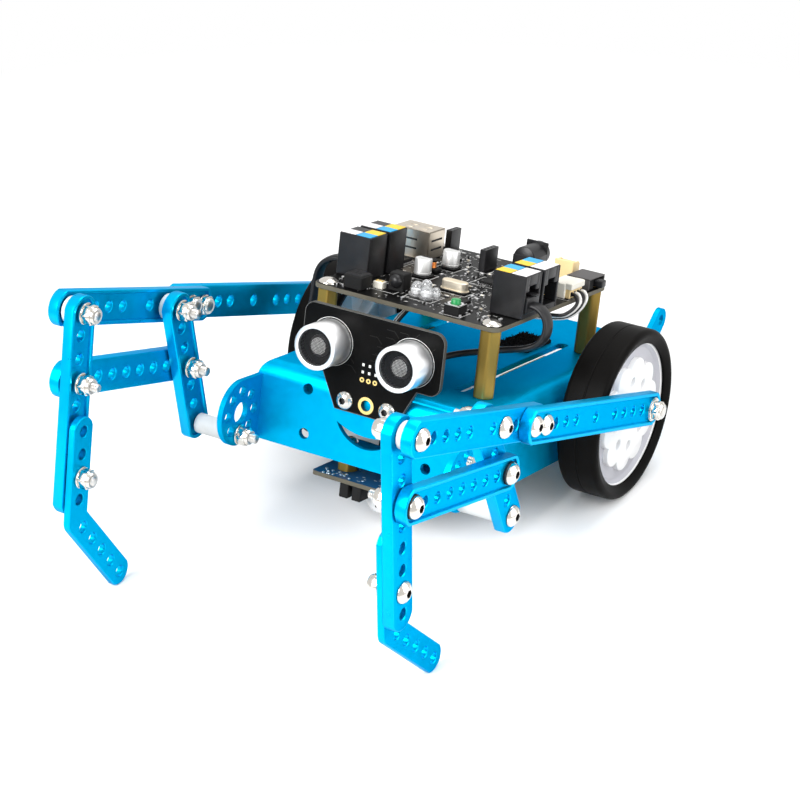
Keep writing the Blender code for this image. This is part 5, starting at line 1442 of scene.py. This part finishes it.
def distance_sensor():
    """The narrow-footed board with its print, pads and traces, and the lead socket behind it."""
    outline = sensor_outline()
    hole_x, hole_z = SENSOR_HOLE
    holes = [((x, hole_z), HOLE_RADIUS) for x in (hole_x, -hole_x, 0)]
    back, face = -SENSOR_BACK, -SENSOR_FACE
    shape = Shape("board", FORWARD)
    skin = [(0.1, back), (0, back + 0.1), (0, face - 0.1), (0.1, face)]
    shape.plate(outline, skin, holes, [(0, back), (0, face)], "dark_edge")
    # The pale line round the face, just inside the edge, is painted highlight
    shape.use("painted_edge_highlight")
    border = ((0.12, 0), (0.12, 0.04), (0.3, 0.04), (0.3, 0))
    rings = [shape.ring(inset(outline, taken), face + rise) for taken, rise in border]
    for low, high in zip(rings, rings[1:] + rings[:1]):
        shape.wall(low, high)
    shape.use("silk")
    for side in (1, -1):
        shape.move(FORWARD @ Matrix.Translation((side * EYE_X, EYE_Z, face)))
        shape.washer(EYE_RADIUS + 0.4, EYE_RADIUS + 0.56, 0, 0.04, 96)
    shape.use("gold")
    shape.move(FORWARD @ Matrix.Translation((0, hole_z, face)))
    shape.washer(2, 3.1, 0, 0.05)
    for x in (-2.6, 0, 2.6):
        shape.use("gold")
        shape.move(FORWARD @ Matrix.Translation((x, 28.4, face)))
        shape.washer(0.4, 0.9, 0, 0.06, 24)
        shape.turned(["matte", (0, 0.4), (0.02, 0.4)], 12)
        shape.move(FORWARD @ Matrix.Translation((x, 0, face)))
        shape.blocks("silk", 0.03, *((-0.45, 0.45, z - 0.5, z + 0.5, 0, 0.06) for z in (31.2, 33.8)))
    shape.move(FORWARD)
    rng = random.Random(3)
    shape.use("trace")
    for _ in range(26):
        x, height = rng.uniform(-24, 24), rng.uniform(31, 50)
        run = [(x, height), (x + 3, height), (x + 5, height - rng.choice((-2, 2)))]
        if abs(x + 5) < 26 and 30 < run[2][1] < 50.5:
            shape.strip(run, 0.3, face, 0.02)
    behind = (SOCKET_DEPTH / 2, SENSOR_BACK - SEAT, SENSOR_SOCKET_Z)
    lead_socket(shape, facing(behind, (1, 0, 0), (0, 1, 0)), ())
    for side in (1, -1):
        for dx in (-2.6, 2.6):
            shape.move(facing((side * EYE_X + dx, SENSOR_BACK, EYE_Z - 3), (1, 0, 0), (0, 1, 0)))
            shape.turned(["solder", (0, 0.9), (0.4, 0.6), (0.9, 0.3)], 12)
    stand_in("sensor_board", shape)


def transducers():
    """The two round cans, each with a cone behind a disc of woven wire."""
    r, end = EYE_RADIUS, EYE_LENGTH
    for side, label in SIDES:
        shape = Shape("alloy", facing((side * EYE_X, SENSOR_FACE, EYE_Z), (1, 0, 0), (0, -1, 0)))
        shape.hoop([
            (r - 0.4, SEAT), (r, SEAT), (r, end - 0.2), (r - 0.1, end - 0.05), (r - 0.2, end),
            (r - 1.3, end), (r - 1.5, end - 0.1), (r - 1.6, end - 1.6), (r - 0.9, end - 1.8), (r - 0.9, 0.5),
        ])
        shape.turned(["matte", (0.2, r - 0.6), (end - 4.5, r - 0.9), (end - 4, r - 1.2)], 48)
        # The grey ring is painted shade and the near-white cone within it is partly painted light, brighter
        # towards the middle
        shape.turned(["grey", (end - 4.2, 4), (end - 3, 3.8), (end - 2.6, 3),
                      "cone", (end - 2.4, 2.4), (end - 2.3, 0.8)], 48)
        # The woven wire's near-black is painted shade
        shape.use("wire_mesh_painted_shade")
        woven_disc(shape, r - 1.4, 0.5, end - 1.4, 0.09)
        stand_in(f"{label}_transducer", shape)


def sensor_bolts():
    """The two bolts that hold the distance sensor's board to the front face."""
    hole_x, hole_z = SENSOR_HOLE
    shape = Shape("steel")
    for x in (hole_x, -hole_x):
        shape.move(facing((x, SENSOR_FACE, hole_z), (1, 0, 0), (0, -1, 0)))
        shape.turned(["steel", (-4.5, 1.6), (0, 1.6)])
        shape.turned(head(0, 3.4, 2))
        shape.turned(lock_nut(SENSOR_FACE - CHASSIS_FRONT - SHEET, -1, washer=3.8, tail=0.8))
    make("sensor_bolts", shape, "chassis")


def line_sensor():
    """The line sensor's board with its optic blocks, posts and lead socket."""
    low, high = LINE_TOP - BOARD_THICK, LINE_TOP
    outline = rounded_box(2 * LINE_HALF, LINE_DEPTH, 1.6, (0, LINE_FRONT + LINE_DEPTH / 2), 6)
    holes = [((side * LINE_POST[0], LINE_POST[1]), HOLE_RADIUS) for side in (1, -1)]
    shape = Shape("navy")
    skin = [(0.1, low), (0, low + 0.1), (0, high - 0.1), (0.1, high)]
    shape.plate(outline, skin, holes, [(0, low), (0, high)], "laminate")
    rng = random.Random(17)
    shape.use("silk")
    for _ in range(46):
        x, y = rng.uniform(-22, 22), rng.uniform(19.5, 41.5)
        wide = rng.uniform(0.5, 1.6)
        shape.strip([(x - wide / 2, y), (x + wide / 2, y)], 0.25, high, 0.03)
    for _ in range(28):
        x, y = rng.choice((-1, 1)) * rng.uniform(4, 22), rng.uniform(19.5, 24.5)
        shape.move(Matrix.Translation((x, y, high)))
        shape.turned(["solder", (0, 0.6), (0.2, 0.5), (0.4, 0.2)], 12)
    for side in (1, -1):
        for dx, material in ((-2.6, "clear"), (2.6, "black")):
            x = side * 7.5 + dx
            shape.move()
            front, foot_z = LINE_FRONT + SEAT, low - 5.3
            shape.blocks("matte", 0.3, (x - 1.8, x + 1.8, front, LINE_FRONT + 6.2, foot_z, low))
            shape.move(facing((x, LINE_FRONT + 3.1, foot_z), (1, 0, 0), (0, 0, -1)))
            shape.turned([material, (-0.5, 1.3), (0, 1.3), (0.1, 1.1), (0.2, 0.5)], 24)
    lead_socket(shape, facing((-SOCKET_DEPTH / 2, LINE_SOCKET_Y, LINE_TOP), (-1, 0, 0), (0, 0, 1)), ())
    stand_in("line_sensor", shape)

    for side, label in SIDES:
        x, y = side * LINE_POST[0], LINE_POST[1]
        shape = Shape("brass", Matrix.Translation((x, y, 0)))
        pillar(shape, LINE_TOP + SEAT, CHASSIS_BOTTOM - SEAT)
        screw(shape, facing((x, y, low), (0, 1, 0), (0, 0, -1)), 2.9, 1.8)
        screw(shape, Matrix.Translation((x, y, CHASSIS_BOTTOM + SHEET)), 2.9, 1.8)
        stand_in(f"{label}_line_post", shape, 20)


def caster():
    """The ball caster under the line sensor: a tapered housing with a cup, and its ball."""
    top = LINE_TOP - BOARD_THICK - SEAT
    centre = top - CASTER_HEIGHT + CASTER_BALL - CASTER_SHOW
    cup = CASTER_BALL + 0.3
    shape = Shape("white", Matrix.Translation((0, CASTER_Y, 0)))
    levels = [(top, CASTER_RADIUS)]
    for i in range(1, 13):
        h = i / 12
        taper = 0.28 * max(0.0, (h - 0.4) / 0.6) ** 1.8
        levels.append((top - CASTER_HEIGHT * h, CASTER_RADIUS * (1 - taper)))
    start = math.asin((top - CASTER_HEIGHT - centre) / cup)
    levels += [(z, r) for r, z in arc((0, centre), cup, start, math.radians(80), 8)]
    shape.turned(levels, 64)
    stand_in("caster_housing", shape)
    shape = Shape("alloy", Matrix.Translation((0, CASTER_Y, centre)))
    half_step = math.pi / 48
    ball = arc((0, 0), CASTER_BALL, half_step - math.pi / 2, math.pi / 2 - half_step, 23)
    shape.turned([(z, r) for r, z in ball], 48)
    stand_in("caster_ball", shape)


# Leads and wires


def plug(shape, matrix):
    """A lead plug, its cable end on the matrix's origin and its nose towards local -X."""
    shape.move(matrix)
    shape.blocks("black", 0.4, (-10, 0.6, -4.6, 4.6, -3, 3))
    shape.blocks("black", 0.3, (-8.5, 2.2, -1.6, 1.6, 3.2, 4))
    shape.blocks("gold", 0.1, *((-9.8, -7, y - 0.2, y + 0.2, -3.1, -1.6) for y in LEAD_CONTACTS))


def lead(name, route, plug_places):
    """A flat lead with softly rounded edges, and the plugs at its ends."""
    points = smooth_route(route)
    half, thick = RIBBON_WIDTH / 2, RIBBON_WIDTH * 0.2
    section = [(half * x, thick * math.copysign(abs(y) ** 0.6, y)) for x, y in circle((0, 0), 1, 20)]
    shape = Shape("lead")
    shape.sweep(points, section)
    made = stand_in(name, shape, 60)
    plugs = Shape("clear")
    for matrix in plug_places:
        plug(plugs, matrix)
    ends = make(f"{name}_plugs", plugs, "chassis")


def wire(name, route, material):
    """A thin round wire from the motor connector to a motor."""
    points = smooth_route(route, 5)
    shape = Shape(material)
    shape.sweep(points, circle((0, 0), WIRE_WIDTH / 2, 12))
    made = make(name, shape, "chassis", 60)


def leads():
    """The two leads between sockets, and two wires to each motor."""
    mouth = BOARD_TOP + SEAT + (MOUTH_LOW + MOUTH_HIGH) / 2 - 1
    lead("sensor_lead", SENSOR_LEAD_ROUTE, (
        facing((SOCKET_EDGE, SOCKET_ROWS[0], mouth), (1, 0, 0), (0, 0, 1)),
        facing((SOCKET_DEPTH / 2, SENSOR_BACK + 6, SENSOR_SOCKET_Z), (1, 0, 0), (0, 1, 0)),
    ))
    lead("line_lead", LINE_LEAD_ROUTE, (
        facing((-SOCKET_EDGE, SOCKET_ROWS[0], mouth), (-1, 0, 0), (0, 0, 1)),
        facing((-SOCKET_DEPTH / 2, LINE_SOCKET_Y, LINE_TOP + 6), (-1, 0, 0), (0, 0, 1)),
    ))
    kinds = ((1, "lead"), (1, "wire_white"), (-1, "lead"), (-1, "wire_white"))
    for i, (y, (side, material)) in enumerate(zip(MOTOR_WIRE_ROWS, kinds)):
        low = WIRE_WIDTH * i
        slot = -SLOT_X - 0.9 * (i - 1.5)
        route = [
            (36.6, y, BOARD_TOP + 1.8), (38.8, y, BOARD_TOP + 1.7), (40.2, y - 1, BOARD_TOP - 0.8),
            (39.2, y - 5, BOARD_TOP - 3.4 - low / 3), (36.5, 77 + low, BOARD_TOP - 4.4 - low / 2),
            (25, 74, 47.5 - low / 2), (5, 72, 46.5 - low / 2), (-13, 70, 44),
            (slot, 66 + low, 33), (slot, 62 + low, 23),
        ]
        if side > 0:
            route += [(-12, 56, 20.5 - low), (10, 50, 19.5 - low), (26.2 + 0.6 * i, 44.5, 15)]
        else:
            route += [(slot - 0.8, 54, 17), (-26.2 - 0.6 * (i - 2), 44.5, 15)]
        wire(f"motor_wire_{i + 1}", route, material)


# Stage

def camera():
    made = bpy.data.objects.new("camera", bpy.data.cameras.new("camera"))
    made.data.lens = CAMERA_LENS
    made.data.sensor_width = 36
    turn = Matrix.Rotation(CAMERA_TURN, 4, "Z") @ Matrix.Rotation(math.pi / 2 - CAMERA_RISE, 4, "X")
    turn = turn @ Matrix.Rotation(CAMERA_ROLL, 4, "Z")
    away = turn @ Matrix.Translation((0, 0, CAMERA_DISTANCE))
    made.matrix_world = STAND @ Matrix.Translation(CAMERA_TARGET) @ away
    bpy.context.collection.objects.link(made)
    bpy.context.scene.camera = made


def lamp(name, place, size, power):
    """A soft square lamp that looks at the robot."""
    made = bpy.data.objects.new(name, bpy.data.lights.new(name, "AREA"))
    made.data.shape = "SQUARE"
    made.data.size = size
    made.data.energy = power
    made.visible_camera = False
    made.location = place
    made.rotation_euler = (Vector((0, 0, 0.04)) - Vector(place)).to_track_quat("-Z", "Y").to_euler()
    bpy.context.collection.objects.link(made)


def seen_straight(tree):
    """A socket that is 1 for rays that show a surface as it is: camera, glossy and transmission rays."""
    rays = node(tree, "LightPath").outputs
    found = rays["Is Camera Ray"]
    for name in ("Is Glossy Ray", "Is Transmission Ray"):
        either = node(tree, "Math", operation="MAXIMUM")
        join(tree, (found, either.inputs[0]), (rays[name], either.inputs[1]))
        found = either.outputs[0]
    return found


def floor():
    """A pale floor that fades to white, and sends less light back to the robot than it shows."""
    size = FLOOR_HALF
    mesh = bpy.data.meshes.new("floor")
    corners = [(-size, -size, 0), (size, -size, 0), (size, size, 0), (-size, size, 0)]
    mesh.from_pydata(corners, [], [(0, 1, 2, 3)])
    material = bpy.data.materials.new("floor_finish")
    material.use_nodes = True
    tree = material.node_tree
    shader = tree.nodes["Principled BSDF"]
    shader.inputs["Base Color"].default_value = FLOOR_COLOUR
    shader.inputs["Roughness"].default_value = 0.85
    bounce = node(tree, "BsdfDiffuse", {"Color": (FLOOR_BOUNCE, FLOOR_BOUNCE, FLOOR_BOUNCE, 1)})
    plain = node(tree, "Emission", {"Color": WHITE, "Strength": 1})
    far = node(tree, "VectorMath", operation="LENGTH")
    fade = node(tree, "MapRange", {"From Min": FLOOR_FADE[0], "From Max": FLOOR_FADE[1]})
    seen = node(tree, "MixShader")
    mix = node(tree, "MixShader")
    join(
        tree, (node(tree, "TexCoord").outputs["Object"], far.inputs[0]),
        (far.outputs["Value"], fade.inputs["Value"]),
        (fade.outputs["Result"], seen.inputs["Fac"]), (shader.outputs[0], seen.inputs[1]),
        (plain.outputs[0], seen.inputs[2]), (seen_straight(tree), mix.inputs["Fac"]),
        (bounce.outputs[0], mix.inputs[1]), (seen.outputs[0], mix.inputs[2]),
        (mix.outputs[0], tree.nodes["Material Output"].inputs["Surface"]),
    )
    mesh.materials.append(material)
    made = bpy.data.objects.new("floor", mesh)
    bpy.context.collection.objects.link(made)


def surround():
    """A white surround whose light on the robot grows from the floor upwards."""
    world = bpy.data.worlds.new("surround")
    world.use_nodes = True
    tree = world.node_tree
    light = tree.nodes["Background"]
    light.inputs["Color"].default_value = WHITE
    split = node(tree, "SeparateXYZ")
    rise = node(tree, "MapRange", {"To Min": SKY_LOW, "To Max": SKY_HIGH})
    seen = node(tree, "Background", {"Color": WHITE, "Strength": 1})
    mix = node(tree, "MixShader")
    join(
        tree, (node(tree, "TexCoord").outputs["Generated"], split.inputs[0]),
        (split.outputs["Z"], rise.inputs["Value"]), (rise.outputs["Result"], light.inputs["Strength"]),
        (seen_straight(tree), mix.inputs["Fac"]), (light.outputs[0], mix.inputs[1]),
        (seen.outputs[0], mix.inputs[2]),
        (mix.outputs[0], tree.nodes["World Output"].inputs["Surface"]),
    )
    bpy.context.scene.world = world


def stage():
    """The camera, the floor, the surround and soft lamps."""
    camera()
    floor()
    surround()
    lamp("key", (-0.25, -1.00, 0.75), 0.7, 22)
    lamp("fill", (0.26, 0.00, 0.16), 0.25, 0.58)
    lamp("top", (0.10, 0.45, 1.20), 0.9, 9)
    bpy.context.scene.view_settings.view_transform = "Standard"


def main():
    stage()
    leads()
    chassis()
    hook_patch()
    board()
    standoffs()
    soldered_parts()
    cans_and_coil()
    cases_and_lamps()
    headers_and_connectors()
    board_sockets()
    data_socket()
    power_jack()
    slide_switch()
    push_button()
    distance_sensor()
    transducers()
    sensor_bolts()
    line_sensor()
    caster()
    for side, label in SIDES:
        wheel(side, label)
        motor(side, label)
        leg(side, label)


main()
